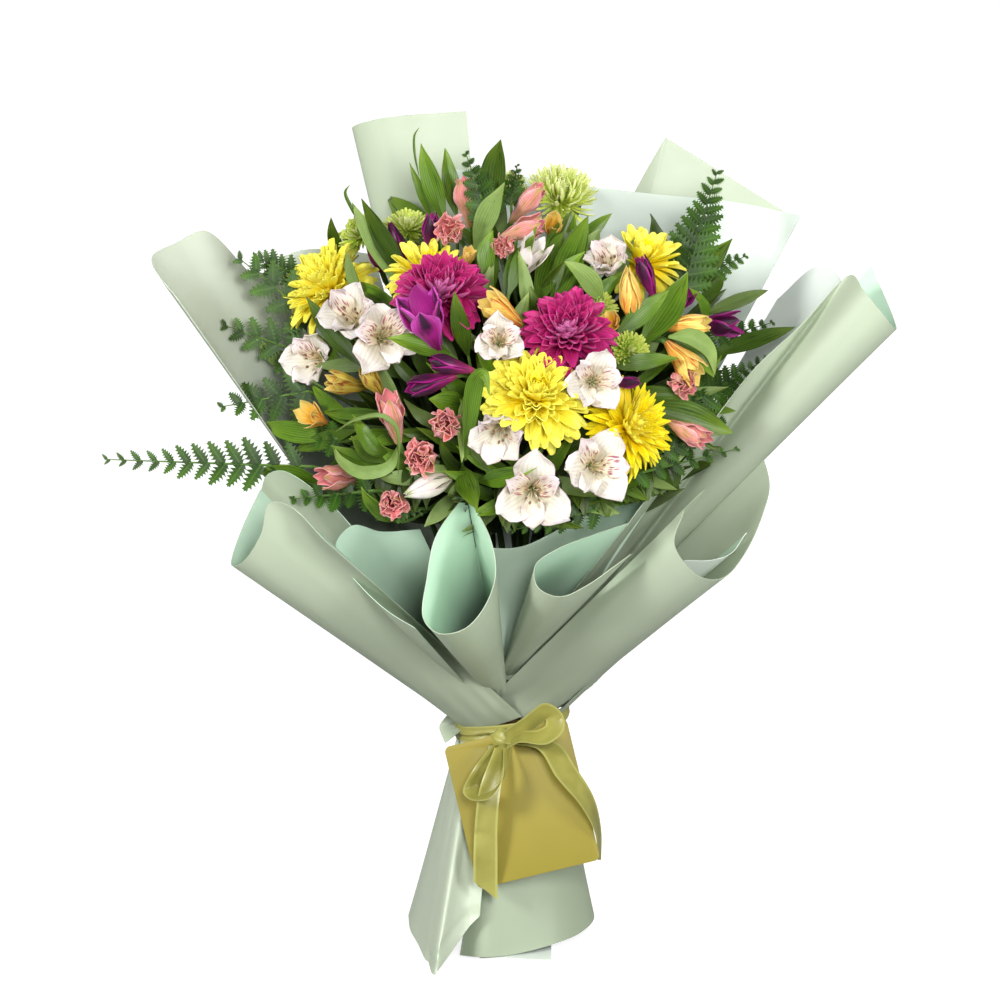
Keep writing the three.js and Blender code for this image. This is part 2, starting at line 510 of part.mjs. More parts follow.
// leaves: tip across, up, lift; base across, up; width; bow
const LEAVES = [
  { name: 'leaves_top_left', hub: [-62, 430], blades: [
    [-66, 527, 0, -50, 474, 13, 3], [-50, 524, -4, -42, 478, 11, 3], [-73, 513, -6, -55, 472, 7, 2],
    [-127, 479, 0, -115, 443, 9, 3], [-112, 488, 4, -79, 430, 11, 5], [-103, 487, 6, -71, 428, 13, 5],
    [-114, 454, 12, -104, 420, 8, 3]] },
  { name: 'leaves_left', hub: [-105, 350], blades: [
    [-139, 423, 26, -104, 378, 13, 4], [-175, 397, 0, -146, 374, 11, 3], [-175, 341, 6, -122, 331, 14, 4],
    [-173, 311, 8, -128, 300, 19, 4], [-151, 322, 10, -108, 336, 11, 3], [-124, 326, 18, -82, 308, 12, 5],
    [-110, 332, 16, -84, 316, 13, 4]] },
  { name: 'leaves_front', hub: [-36, 335], blades: [
    [-87, 396, 26, -46, 386, 13, 4], [-43, 426, 26, -34, 384, 12, 4], [-60, 356, 12, -34, 350, 16, 3],
    [-39, 314, 16, -30, 368, 12, 5],
    [-104, 299, 18, -80, 276, 12, 3], [-28, 284, 22, -38, 312, 15, 3], [11, 311, 22, -27, 302, 12, 3],
    [56, 292, 10, 84, 312, 8, 3], [-48, 288, 14, -34, 300, 12, 3]] },
  { name: 'leaves_top', hub: [8, 430], blades: [
    [-13, 531, 0, -20, 480, 17, 3], [-10, 497, 10, -30, 452, 15, 4], [-18, 467, 14, -24, 436, 12, 3],
    [11, 470, 14, -8, 424, 11, 3], [35, 485, 16, 10, 414, 19, 5], [45, 478, 12, 20, 414, 18, 4],
    [29, 447, 18, 54, 420, 14, 4], [75, 462, 4, 56, 424, 9, 3]] },
  { name: 'leaves_top_right', hub: [88, 410], blades: [
    [87, 481, 4, 91, 444, 11, 3], [123, 465, 0, 86, 442, 11, 3], [138, 461, 4, 99, 418, 15, 5],
    [110, 440, 16, 78, 390, 19, 5], [98, 428, 18, 62, 397, 13, 4], [112, 430, 10, 124, 408, 8, 2],
    [135, 440, 2, 117, 418, 9, 3]] },
  { name: 'leaves_right', hub: [98, 368], blades: [
    [166, 430, 2, 120, 412, 9, 4], [183, 405, 2, 121, 385, 11, 5], [104, 383, 22, 58, 377, 11, 4],
    [128, 371, 12, 96, 396, 15, 5], [139, 334, 14, 80, 352, 19, 5], [131, 322, 6, 82, 346, 8, 3]] },
  { name: 'leaves_back', hub: [10, 440], back: true, blades: [
    [-90, 495, -80, -40, 440, 20, 8], [-30, 515, -85, -10, 450, 20, 8], [40, 510, -85, 20, 450, 20, 8],
    [100, 470, -80, 60, 420, 20, 8]] },
];

// fronds: base across, up, lift; tip across, up, lift; leaflet reach, pairs, sag
const FERNS = [
  { name: 'fern_left_top', frond: [-140, 412, -10, -190, 450, 0, 26, 5, 6] },
  { name: 'fern_left', frond: [-150, 388, -10, -198, 403, 0, 16, 4, 4] },
  { name: 'fern_left_low', frond: [-140, 362, -8, -200, 350, 4, 15, 5, 4] },
  { name: 'fern_long_left', frond: [-138, 312, 0, -276, 317, 10, 23, 6, -8] },
  { name: 'fern_front_left', frond: [-96, 296, 6, -160, 290, 12, 18, 4, 3] },
  { name: 'fern_top', frond: [-20, 474, -10, -36, 520, -6, 18, 4, 3] },
  { name: 'fern_right_tall', frond: [104, 424, -10, 131, 508, -6, 27, 6, 5] },
  { name: 'fern_right', frond: [110, 352, -2, 164, 384, 4, 20, 5, 4] },
  { name: 'fern_front_right', frond: [72, 306, 2, 144, 324, 10, 14, 4, 4] },
];

// ribbon strips given by their two edges, from the knot outwards
const RIBBON_STRIPS = [
  [[at(-19, 127, -47), at(-33, 108, -56), at(-38, 96, -60), at(-33, 91, -66), at(-20, 92, -70), at(-12, 104, -66),
    at(-11, 124, -52)],
  [at(-13, 127, -49), at(-20, 112, -58), at(-25, 100, -62), at(-24, 97, -66), at(-17, 98, -70), at(-9, 110, -66),
    at(-6, 126, -52)]],
  [[at(-17, 125, -52), at(-27, 98, -68), at(-30, 76, -74), at(-31, 54, -76), at(-31, 36, -76)],
    [at(-8, 125, -52), at(-13, 98, -68), at(-15, 76, -74), at(-15, 54, -76), at(-15, 24, -76)]],
  [[at(-11, 136, -48), at(2, 145, -54), at(17, 155, -56), at(28, 148, -58), at(29, 137, -60), at(18, 128, -60),
    at(0, 129, -54), at(-9, 124, -49)],
  [at(-8, 129, -48), at(3, 133, -54), at(15, 141, -54), at(17, 144, -57), at(17, 140, -62), at(12, 137, -62),
    at(2, 136, -56), at(-7, 131, -50)]],
  [[at(-10, 128, -48), at(12, 124, -56), at(24, 106, -66), at(41, 86, -70), at(50, 68, -66), at(52, 50, -58)],
    [at(-8, 133, -48), at(25, 128, -54), at(37, 112, -62), at(49, 92, -62), at(54, 70, -56), at(54, 50, -55)]],
];

// ---- building ----
const nodes = [];
const node = (name, colour, roughness, make) => nodes.push({ name, colour, roughness, make });

node('ribbon', 0xa8a648, 0.35, (g) => {
  const profile = [[0, -1], [1, -1], [1, 1], [0, 1], [0, -1]].map(([out, side]) => new THREE.Vector2(
    BAND_RADIUS + (out ? RIBBON + g : -g), side * (RIBBON_WIDTH / 2 - 1 + g)));
  const ring = new THREE.LatheGeometry(profile, 18).rotateX(Math.PI / 2);
  ring.applyMatrix4(new THREE.Matrix4().set(1, 0, 0, TIE_CENTRE_X, 0, 1, 0, 0,
    TIE_SLOPE, 0, 1, TIE_HEIGHT + TIE_SLOPE * TIE_CENTRE_X, 0, 0, 0, 1));
  const knot = at(-12, 129, -43);
  const strips = RIBBON_STRIPS.map((rows) => sheet(rows, 6, 1, RIBBON, g));
  return join([fromGeometry(ring), ball(knot, 9.5, g), ...strips]);
});

node('tag', 0xa79c3c, 0.6, (g) => {
  const w = TAG_WIDTH / 2 + g;
  const h = TAG_HEIGHT + g;
  const outline = new THREE.Shape();
  outline.moveTo(-w + TAG_CORNER, g);
  outline.lineTo(w - TAG_CORNER, g);
  outline.quadraticCurveTo(w, g, w, -TAG_CORNER);
  outline.lineTo(w, -h + TAG_CORNER);
  outline.quadraticCurveTo(w, -h, w - TAG_CORNER, -h);
  outline.lineTo(-w + TAG_CORNER, -h);
  outline.quadraticCurveTo(-w, -h, -w, -h + TAG_CORNER);
  outline.lineTo(-w, -TAG_CORNER);
  outline.quadraticCurveTo(-w, g, -w + TAG_CORNER, g);
  if (g === 0) {
    const hole = new THREE.Path();
    hole.absarc(-11, -8, TAG_HOLE, 0, 2 * Math.PI, false);
    outline.holes.push(hole);
  }
  const card = new THREE.ExtrudeGeometry(outline, { depth: TAG + 2 * g, bevelEnabled: false, curveSegments: 2 });
  card.translate(0, 0, -TAG / 2 - g);
  const right = at(31, 145, -46).sub(at(-51, 125, -46)).normalize();
  const down = at(-29, 27, -74).sub(at(-51, 125, -46)).normalize();
  const up = down.clone().negate().addScaledVector(right, down.dot(right)).normalize();
  const middle = at(-51, 125, -46).lerp(at(31, 145, -46), 0.5);
  card.applyMatrix4(new THREE.Matrix4().makeBasis(right, up, right.clone().cross(up)).setPosition(middle));
  return fromGeometry(card);
});

node('paper_skirt_panel', 0xa9bba6, 0.7, (g) => sheet([
  [tie(176, 35.6, -3), tie(196, 35.7, -3), tie(216, 35.7, -3), tie(236, 35.7, -3), tie(256, 35.7, -3)],
  lifted(SKIRT_PANEL_HEM)], 8, 1, PAPER, g));

node('paper_skirt', 0x9dac95, 0.7, (g) => {
  const top = [250, 270, 290, 310, 335, 0, 25, 50, 80, 110, 140, 165, 190, 215].map((a) => tie(a, 33.2, -4));
  return sheet([top, lifted(SKIRT_HEM)], 15, 1, PAPER, g);
});

for (const s of SHEETS) {
  node(s.name, s.colour, 0.65, (g) => sheet(s.rows, s.across, s.along, PAPER, g, s.corners));
}

const stemEnds = [];
for (const m of MUMS) {
  const feet = m.heads.map((h) => h.centre.clone().addScaledVector(h.axis, -h.radius * 0.25));
  const meet = feet.reduce((sum, p) => sum.add(p), V(0, 0, 0)).divideScalar(feet.length);
  const hub = inward(meet, m.heads.length > 1 ? 26 : 6);
  stemEnds.push(hub);
  node(m.name, m.colour, 0.6, (g) => join([
    ...m.heads.map((h) => mum(h, g)),
    ...(m.heads.length > 1 ? [ball(hub, 3.2, g)] : []),
    ...(m.heads.length > 1 ? feet.map((p) => tube([p, hub], [1.4, 1.4], 4, g)) : []),
  ]));
}

for (const s of SPRAYS) {
  const florets = s.florets.map(([across, up, lift, direction, length, open, turn]) => {
    const axis = aim(...direction);
    const full = length * FLORET_SCALE;
    return { base: onDome(across, up, lift).addScaledVector(axis, -full * 0.5), axis, length: full, open, turn };
  });
  const meet = florets.reduce((sum, f) => sum.add(f.base), V(0, 0, 0)).divideScalar(florets.length);
  const hub = inward(meet, SPRAY_DEPTH);
  for (const f of florets) f.hub = hub;
  stemEnds.push(hub);
  node(s.name, s.colour, 0.55, (g) => join([
    ball(hub, 3.2, g),
    ...florets.map((f) => floret(f, g)),
  ]));
}

for (const { name, frond: [bx, bu, bl, tx, tu, tl, reach, pairs, sag] } of FERNS) {
  const base = onDome(bx, bu, bl);
  const tip = onDome(tx, tu, tl);
  const foot = inward(base, 22);
  const face = V(0, -COS, SIN);
  node(name, 0x3d6b2c, 0.6, (g) => join([
    frond({ base, tip, sag, reach, pairs, face }, g),
    tube([foot, base], [1.5, 1.4], 3, g),
  ]));
}

for (const group of LEAVES) {
  const blades = group.blades.map(([tx, tu, lift, bx, bu, width, bow]) => ({
    tip: onDome(tx, tu, lift), base: onDome(bx, bu, group.back ? -70 : -22), width, bow }));
  const hub = inward(onDome(group.hub[0], group.hub[1], group.back ? -60 : -34), LEAF_DEPTH);
  for (const b of blades) b.hub = hub;
  node(group.name, 0x5d8a3a, 0.55, (g) => join([
    ball(hub, 4, g),
    ...blades.map((b) => leaf(b, g)),
  ]));
}

node('twine', 0xb79a66, 0.9, (g) => {
  const ring = new THREE.TorusGeometry(TWINE_RADIUS, TWINE_THICKNESS / 2 + g, 4, 14);
  ring.applyMatrix4(new THREE.Matrix4().set(1, 0, 0, TIE_CENTRE_X, 0, 1, 0, 0,
    TIE_SLOPE, 0, 1, TIE_HEIGHT + TIE_SLOPE * TIE_CENTRE_X, 0, 0, 0, 1));
  return fromGeometry(ring);
});

// stems: a bound bundle on its cut ends, with each stem leaving its top towards a head
node('stems', 0x7b9a52, 0.6, (g) => {
  const flutes = 9;
  const rows = [[0, 26, 0.9], [150, STEM_BUNDLE, 0.2], [190, STEM_BUNDLE + 2, 0]];
  const rings = rows.map(([z, r, turn], i) => Array.from({ length: 2 * flutes }, (_, j) => {
    const a = Math.PI * j / flutes + turn;
    const radius = (j % 2 ? r * 0.82 : r) + g;
    return V(i ? TIE_CENTRE_X + radius * Math.cos(a) : radius * Math.cos(a), radius * Math.sin(a), z);
  }));
  const upper = stemEnds.map((end) => {
    const start = V(TIE_CENTRE_X + (end.x - TIE_CENTRE_X) * STEM_FAN, end.y * STEM_FAN, 180);
    return tube([start, end], [STEM_RADIUS, STEM_RADIUS * 0.7], 3, g);
  });
  return join([loft(rings), ...upper]);
});

// each piece is trimmed clear of the pieces before it, and its main body is kept
const reaches = (a, b) => [0, 1, 2].every((k) => a.min[k] < b.max[k] && b.min[k] < a.max[k]);
const bouquet = new THREE.Group();
const placed = [];
for (const n of nodes) {
  let body = n.make(0);
  const box = body.boundingBox();
  const near = placed.filter((p) => reaches(box, p.box));
  if (near.length > 0) body = body.subtract(join(near.map((p) => p.clearance)));
  for (const p of near) {
    if (body.intersect(p.body).volume() > 0.001) body = body.subtract(p.body);
  }
  const bodies = body.decompose();
  body = bodies.reduce((best, b) => (b.volume() > best.volume() ? b : best));
  const clearance = n.make(GAP);
  placed.push({ body, clearance, box: clearance.boundingBox() });
  const mesh = body.getMesh();
  const geometry = new THREE.BufferGeometry();
  geometry.setAttribute('position', new THREE.BufferAttribute(new Float32Array(mesh.vertProperties), 3));
  geometry.setIndex(new THREE.BufferAttribute(new Uint32Array(mesh.triVerts), 1));
  geometry.computeVertexNormals();
  const material = new THREE.MeshStandardMaterial({ color: n.colour, roughness: n.roughness, metalness: 0 });
  const piece = new THREE.Mesh(geometry, material);
  piece.name = n.name;
  bouquet.add(piece);
}

export default bouquet;
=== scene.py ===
"""Looks of the wrapped mixed bouquet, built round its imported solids. Metres, +Z up, front towards -Y."""

import math
import random

import bpy
import numpy as np
from mathutils import Matrix, Quaternion, Vector
from mathutils.bvhtree import BVHTree


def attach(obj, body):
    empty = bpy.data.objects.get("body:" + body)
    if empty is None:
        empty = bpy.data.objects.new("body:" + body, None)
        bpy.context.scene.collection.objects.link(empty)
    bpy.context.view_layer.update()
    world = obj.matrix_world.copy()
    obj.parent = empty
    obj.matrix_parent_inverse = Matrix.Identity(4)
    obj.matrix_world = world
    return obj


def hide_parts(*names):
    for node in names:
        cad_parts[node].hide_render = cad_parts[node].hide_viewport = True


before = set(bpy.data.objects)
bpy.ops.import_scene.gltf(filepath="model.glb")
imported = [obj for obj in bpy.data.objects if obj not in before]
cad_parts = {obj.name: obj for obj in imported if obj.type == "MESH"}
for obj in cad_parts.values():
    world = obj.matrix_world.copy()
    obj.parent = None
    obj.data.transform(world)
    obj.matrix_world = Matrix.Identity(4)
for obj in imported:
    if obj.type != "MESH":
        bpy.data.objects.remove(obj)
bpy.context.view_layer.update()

MM = 0.001
TILT = math.radians(15)           # the front view is taken this far above level
SIN, COS = math.sin(TILT), math.cos(TILT)
DOME = dict(x=5, y=-10, z=360, rx=150, ry=125, rz=145)   # shell the blooms sit on
HEART = Vector((5, -10, 300)) * MM                       # where the stalks head for
TIE_X, TIE_HEIGHT, TIE_SLOPE = -5, 151, 0.19
HEM_LIFT = 0.8                                           # keeps the hem clear of the floor
FLORET_SCALE, CROWDING = 1.18, 0.52                      # size of a floret, and the room it keeps free
SPRAY_DEPTH, LEAF_DEPTH = 64, 44                         # how far in the stalks of a group meet
BAND_RADIUS, RIBBON_WIDTH = 37.2, 15.5
TAG_WIDTH, TAG_HEIGHT, TAG_THICK, TAG_CORNER, TAG_HOLE = 84, 97, 1.2, 4, 2.6
BUNDLE, TURN_RADIUS, TWINE_RADIUS = 16, 18.4, 1.05       # the stems and the twine round them
PAPER_THICK, LEAF_THICK, SATIN_THICK = 0.45, 0.5, 0.45
PETAL_SHARE, TEPAL_SHARE, PINNA_SHARE = 0.016, 0.014, 0.022      # thickness of a petal over its length
LEAF_SCALE, BLADE_SHARE = 1.3, 0.8                       # size of the leaves, and how slim their blades are
GOLDEN = math.pi * (3 - math.sqrt(5))                    # turn from one filling leaf to the next
LINE_OF_SIGHT = np.array([0, COS, -SIN])                 # from the eye to the bouquet


# ---- placing ----
def at(across, up, back):
    """A point by its place in the front view and its depth, in metres."""
    return Vector((across, back, (up - back * SIN) / COS)) * MM


def aim(across, up, toward):
    """A direction by its parts in the front view."""
    return Vector((across, up * SIN - toward * COS, up * COS + toward * SIN)).normalized()


def dome_back(across, up):
    """Depth of the bloom shell's front at a place in the front view."""
    x = (across - DOME["x"]) / DOME["rx"]
    z0 = up / COS - DOME["z"]
    k = SIN / COS
    a = 1 / DOME["ry"] ** 2 + k ** 2 / DOME["rz"] ** 2
    b = -2 * DOME["y"] / DOME["ry"] ** 2 - 2 * z0 * k / DOME["rz"] ** 2
    c = (DOME["y"] / DOME["ry"]) ** 2 + (z0 / DOME["rz"]) ** 2 + x * x - 1
    return (-b - math.sqrt(max(b * b - 4 * a * c, 0))) / (2 * a)


def on_dome(across, up, lift):
    return at(across, up, dome_back(across, up) - lift)


def inward(point, depth):
    return point + (HEART - point).normalized() * depth * MM


def tie(degrees, radius, lift):
    """A point round the waist."""
    a = math.radians(degrees)
    x = TIE_X + radius * math.cos(a)
    return Vector((x, radius * math.sin(a), TIE_HEIGHT + TIE_SLOPE * x + lift)) * MM


def lifted(points):
    return [at(*p) + Vector((0, 0, HEM_LIFT * MM)) for p in points]


# ---- tables, in millimetres of the front view ----
# hems: across, up, back
SKIRT_HEM = [(-40, -15, -60), (-27, -16, -67), (-8, -15, -62), (12, -11, -54), (26, -7, -46), (39, -2, -32),
    (49, 6, -10), (47, 13, 18), (30, 12, 40), (0, 14, 51), (-30, 13, 47), (-50, 9, 30), (-56, 1, 2),
    (-50, -8, -32)]
SKIRT_PANEL_HEM = [(-75, 9, 24), (-73, 0, -6), (-68, -8, -36), (-63, -18, -72), (-57, -26, -102), (-47, -14, -84),
    (-36, 2, -71), (-27, 12, -70)]

# heads: across, up, lift, direction, radius
MUMS = [
    ("yellow_mum_centre", "yellow", [(10, 357, 6, (0.08, 0.52, 0.84), 38)]),
    ("yellow_mum_left", "yellow", [(-127, 431, 0, (-0.6, 0.6, 0.5), 36)]),
    ("yellow_mum_right", "shaggy", [(71, 337, 4, (0.7, 0.2, 0.65), 34)]),
    ("yellow_mum_top", "daisy", [(-59, 438, -14, (0, 0.85, 0.5), 32)]),
    ("yellow_mum_top_right", "daisy", [(80, 447, -12, (0.2, 0.8, 0.5), 31)]),
    ("magenta_mum_left", "magenta", [(-52, 425, 8, (-0.1, 0.6, 0.8), 33)]),
    ("magenta_mum_right", "magenta", [(31, 399, 4, (0, 0.5, 0.85), 32)]),
    ("green_mums_top", "spider", [(27, 491, 0, (0.1, 0.7, 0.7), 26), (-7, 497, -6, (0, 0.7, 0.7), 14)]),
    ("green_buttons_left", "button", [(-105, 466, -8, (-0.4, 0.7, 0.6), 17), (-75, 471, -10, (0, 0.9, 0.5), 17)]),
    ("green_buttons_right", "button", [(52, 417, -10, (0.2, 0.7, 0.7), 13), (72, 388, -4, (0.4, 0.2, 0.85), 14)]),
]

# florets: across, up, lift, direction, length, how open, turn, form
SPRAYS = [
    ("white_spray_left", [(-112, 413, 8, (-0.3, 0.45, 0.85), 34, 0.8, 0.3, "white"),
        (-89, 398, 16, (0.15, 0.1, 1), 38, 0.95, 0.9, "white"),
        (-139, 383, 4, (-0.5, 0, 0.85), 33, 0.8, 0.2, "white")]),
    ("white_spray_centre", [(-14, 394, 12, (0, 0.1, 1), 29, 0.8, 0.5, "white"),
        (48, 367, 16, (0.1, 0, 1), 31, 0.95, 0.1, "white")]),
    ("white_spray_front", [(-14, 332, 10, (-0.15, -0.5, 0.85), 34, 0.9, 0.2, "white"),
        (8, 294, 20, (0, -0.15, 1), 38, 0.95, 0.5, "white"), (50, 312, 16, (0.2, 0, 0.95), 36, 0.95, 0, "white"),
        (-60, 299, 14, (-0.8, -0.3, 0.5), 30, 0.08, 0.4, "white_bud")]),
    ("white_spray_top", [(58, 448, -4, (-0.1, 0.6, 0.75), 30, 0.6, 0.4, "white"),
        (6, 450, 2, (0.4, 0.75, 0.5), 34, 0.3, 0.1, "white_bud")]),
    ("pink_spray_top", [(-36, 489, 4, (-0.15, 0.9, 0.35), 32, 0.2, 0.2, "pink"),
        (-45, 467, 8, (-0.3, 0.2, 0.9), 25, 0.7, 0.4, "frilly")]),
    ("pink_spray_top_right", [(5, 487, 2, (0.6, 0.7, 0.4), 31, 0.2, 0.3, "pink"),
        (3, 468, 8, (0.85, 0.3, 0.5), 31, 0.22, 0, "pink"),
        (-10, 456, 6, (-0.3, 0.1, 0.9), 20, 0.6, 0.2, "frilly")]),
    ("pink_spray_front_left", [(-84, 345, 12, (-0.2, 0.85, 0.45), 34, 0.26, 0.4, "pink"),
        (-50, 338, 10, (0.1, 0.2, 0.95), 26, 0.6, 0, "frilly"),
        (-64, 318, 14, (-0.2, -0.1, 0.95), 26, 0.7, 0.5, "frilly"),
        (-119, 305, 6, (-0.9, 0, 0.4), 33, 0.26, 0.1, "pink"),
        (-84, 289, 16, (0, -0.2, 0.95), 25, 0.65, 0.2, "frilly")]),
    ("pink_spray_right", [(104, 367, 6, (0.3, -0.1, 0.9), 23, 0.6, 0.2, "frilly"),
        (111, 334, 22, (0.8, -0.4, 0.4), 30, 0.24, 0.1, "pink")]),
    ("amber_spray_centre", [(-14, 415, 12, (-0.75, 0.5, 0.5), 34, 0.32, 0.3, "amber"),
        (21, 470, -8, (0.1, 0.3, 0.9), 24, 0.3, 0.3, "amber"),
        (-34, 450, -2, (0.2, 0.6, 0.7), 18, 0.3, 0, "amber")]),
    ("amber_spray_right", [(72, 424, 8, (-0.1, 0.95, 0.3), 30, 0.08, 0, "amber"),
        (60, 407, 2, (-0.3, 0.3, 0.9), 18, 0.5, 0, "amber"),
        (110, 405, 8, (0.95, 0.05, 0.3), 32, 0.2, 0.3, "amber"),
        (108, 380, 14, (0.6, -0.7, 0.5), 34, 0.3, 0, "amber")]),
    ("amber_spray_left", [(-116, 366, 12, (-0.85, 0.1, 0.5), 30, 0.3, 0.2, "bronze"),
        (-97, 368, 8, (-0.5, 0.7, 0.4), 24, 0.25, 0.5, "bronze"),
        (-137, 345, 6, (-0.6, 0.3, 0.7), 25, 0.45, 0.1, "amber")]),
    ("purple_spray_centre", [(-62, 409, 22, (-0.3, 0.75, 0.6), 40, 0.42, 0.2, "violet"),
        (-46, 378, 14, (-0.9, 0.2, 0.4), 28, 0.2, 0.1, "purple"),
        (-59, 366, 14, (-0.9, -0.3, 0.4), 32, 0.2, 0.3, "purple")]),
    ("purple_buds_top", [(-95, 457, 2, (-0.2, 0.95, 0.3), 28, 0.08, 0, "purple"),
        (-82, 461, -6, (-0.3, 0.9, 0.3), 26, 0.08, 0, "purple"),
        (-59, 466, -4, (0, 0.95, 0.3), 26, 0.15, 0.2, "purple")]),
    ("purple_spray_right", [(83, 438, 4, (-0.3, 0.9, 0.4), 28, 0.15, 0.2, "purple"),
        (132, 406, 2, (0.95, 0, 0.3), 32, 0.26, 0.2, "purple"),
        (108, 421, -6, (0.5, 0.6, 0.5), 20, 0.2, 0, "purple"),
        (68, 367, 10, (0.9, 0.05, 0.4), 20, 0.12, 0, "purple")]),
]

# leaves: tip across, up, lift; base across, up; width; bow
LEAVES = [
    ("leaves_top_left", (-62, 430), [(-66, 527, 0, -50, 474, 13, 3), (-50, 524, -4, -42, 478, 11, 3),
        (-73, 513, -6, -55, 472, 7, 2), (-127, 479, 0, -115, 443, 9, 3), (-112, 488, 4, -79, 430, 11, 5),
        (-103, 487, 6, -71, 428, 13, 5), (-114, 454, 12, -104, 420, 8, 3)]),
    ("leaves_left", (-105, 350), [(-139, 423, 26, -104, 378, 13, 4), (-175, 397, 0, -146, 374, 11, 3),
        (-175, 341, 6, -122, 331, 14, 4), (-173, 311, 8, -128, 300, 19, 4), (-151, 322, 10, -108, 336, 11, 3),
        (-124, 326, 18, -82, 308, 12, 5), (-110, 332, 16, -84, 316, 13, 4)]),
    ("leaves_front", (-36, 335), [(-87, 396, 26, -46, 386, 13, 4), (-43, 426, 26, -34, 384, 12, 4),
        (-60, 356, 12, -34, 350, 16, 3), (-39, 314, 16, -30, 368, 12, 5), (-104, 299, 18, -80, 276, 12, 3),
        (-28, 284, 22, -38, 312, 15, 3), (11, 311, 22, -27, 302, 12, 3), (56, 292, 10, 84, 312, 8, 3),
        (-48, 288, 14, -34, 300, 12, 3)]),
    ("leaves_top", (8, 430), [(-13, 531, 0, -20, 480, 17, 3), (-10, 497, 10, -30, 452, 15, 4),
        (-18, 467, 14, -24, 436, 12, 3), (11, 470, 14, -8, 424, 11, 3), (35, 485, 16, 10, 414, 19, 5),
        (45, 478, 12, 20, 414, 18, 4), (29, 447, 18, 54, 420, 14, 4), (75, 462, 4, 56, 424, 9, 3)]),
    ("leaves_top_right", (88, 410), [(87, 481, 4, 91, 444, 11, 3), (123, 465, 0, 86, 442, 11, 3),
        (138, 461, 4, 99, 418, 15, 5), (110, 440, 16, 78, 390, 19, 5), (98, 428, 18, 62, 397, 13, 4),
        (112, 430, 10, 124, 408, 8, 2), (135, 440, 2, 117, 418, 9, 3)]),
    ("leaves_right", (98, 368), [(166, 430, 2, 120, 412, 9, 4), (183, 405, 2, 121, 385, 11, 5),
        (104, 383, 22, 58, 377, 11, 4), (128, 371, 12, 96, 396, 15, 5), (139, 334, 38, 80, 352, 21, 5),
        (131, 322, 24, 82, 346, 8, 3)]),
    ("leaves_back", (10, 440), [(-90, 495, -80, -40, 440, 20, 8), (-30, 515, -85, -10, 450, 20, 8),
        (40, 510, -85, 20, 450, 20, 8), (100, 470, -80, 60, 420, 20, 8)]),
]

# fronds: base across, up, lift; tip across, up, lift; leaflet reach, pairs, sag
FERNS = [
    ("fern_left_top", (-136, 410, -10, -186, 450, 0, 29, 2.7, 6)),
    ("fern_left", (-146, 388, -10, -196, 406, 0, 24, 2.7, 4)),
    ("fern_left_low", (-140, 362, -8, -198, 352, 4, 25, 2.7, 4)),
    ("fern_long_left", (-138, 312, 0, -276, 317, 10, 23, 6, -8)),
    ("fern_front_left", (-96, 296, 6, -160, 290, 12, 18, 4, 3)),
    ("fern_top", (-20, 474, -10, -36, 520, -6, 18, 4, 3)),
    ("fern_right_tall", (104, 424, -10, 131, 508, -6, 27, 6, 5)),
    ("fern_right", (110, 352, -2, 164, 384, 4, 20, 5, 4)),
    ("fern_front_right", (72, 306, 2, 144, 324, 10, 14, 4, 4)),
]

# ribbon strips: name, length; their two edges from the knot outwards by across, up, back
RIBBON_STRIPS = [
    ("ribbon_left_loop", 88,
     [(-19, 127, -52), (-33, 108, -67), (-38, 96, -72), (-33, 91, -78), (-20, 92, -82), (-12, 104, -77),
     (-11, 124, -58)],
     [(-13, 127, -49), (-20, 112, -58), (-25, 100, -62), (-24, 97, -66), (-17, 98, -70), (-9, 110, -66),
     (-6, 126, -52)]),
    ("ribbon_left_tail", 99,
     [(-17, 125, -52), (-27, 98, -68), (-30, 76, -74), (-31, 54, -76), (-31, 36, -76)],
     [(-8, 125, -52), (-13, 98, -68), (-15, 76, -74), (-15, 54, -76), (-15, 24, -76)]),
    ("ribbon_right_loop", 88,
     [(-11, 136, -52), (2, 145, -62), (17, 155, -65), (28, 148, -67), (29, 137, -70), (18, 128, -70),
     (0, 129, -62), (-9, 124, -53)],
     [(-8, 129, -48), (3, 133, -54), (15, 141, -54), (17, 144, -57), (17, 140, -62), (12, 137, -62),
     (2, 136, -56), (-7, 131, -50)]),
    ("ribbon_right_tail", 122,
     [(-10, 128, -50), (12, 124, -62), (24, 106, -74), (41, 86, -78), (50, 68, -73), (52, 50, -64)],
     [(-8, 133, -48), (25, 128, -54), (37, 112, -62), (49, 92, -62), (54, 70, -56), (54, 50, -55)]),
]




# ---- curves and meshes ----
def catmull(points, shares):
    """Centripetal curve through the points, at shares 0 to 1 of it."""
    p = np.array([tuple(q) for q in points], float)
    p = np.vstack([2 * p[0] - p[1], p, 2 * p[-1] - p[-2]])
    place = np.clip(np.asarray(shares, float), 0, 1) * (len(points) - 1)
    i = np.minimum(place.astype(int), len(points) - 2)
    w = (place - i)[:, None]
    a, b, c, d = p[i], p[i + 1], p[i + 2], p[i + 3]
    g0, g1, g2 = (np.maximum(((y - x) ** 2).sum(1), 1e-14)[:, None] ** 0.25 for x, y in ((a, b), (b, c), (c, d)))
    s = ((b - a) / g0 - (c - a) / (g0 + g1) + (c - b) / g1) * g1
    e = ((c - b) / g1 - (d - b) / (g1 + g2) + (d - c) / g2) * g1
    return b + w * s + w ** 2 * (3 * (c - b) - 2 * s - e) + w ** 3 * (2 * (b - c) + s + e)


def polyline(points, shares):
    p = np.array([tuple(q) for q in points], float)
    place = np.linspace(0, 1, len(points))
    return np.stack([np.interp(shares, place, p[:, k]) for k in range(3)], axis=1)


def smooth(knots, v):
    """Smooth height through (place, height) knots."""
    x, y = zip(*knots)
    fine = np.linspace(0, 1, 200)
    line = catmull([(a, b, 0) for a, b in zip(x, y)], fine)
    return np.interp(v, line[:, 0], line[:, 1])


def alone():
    bpy.ops.object.select_all(action="DESELECT")


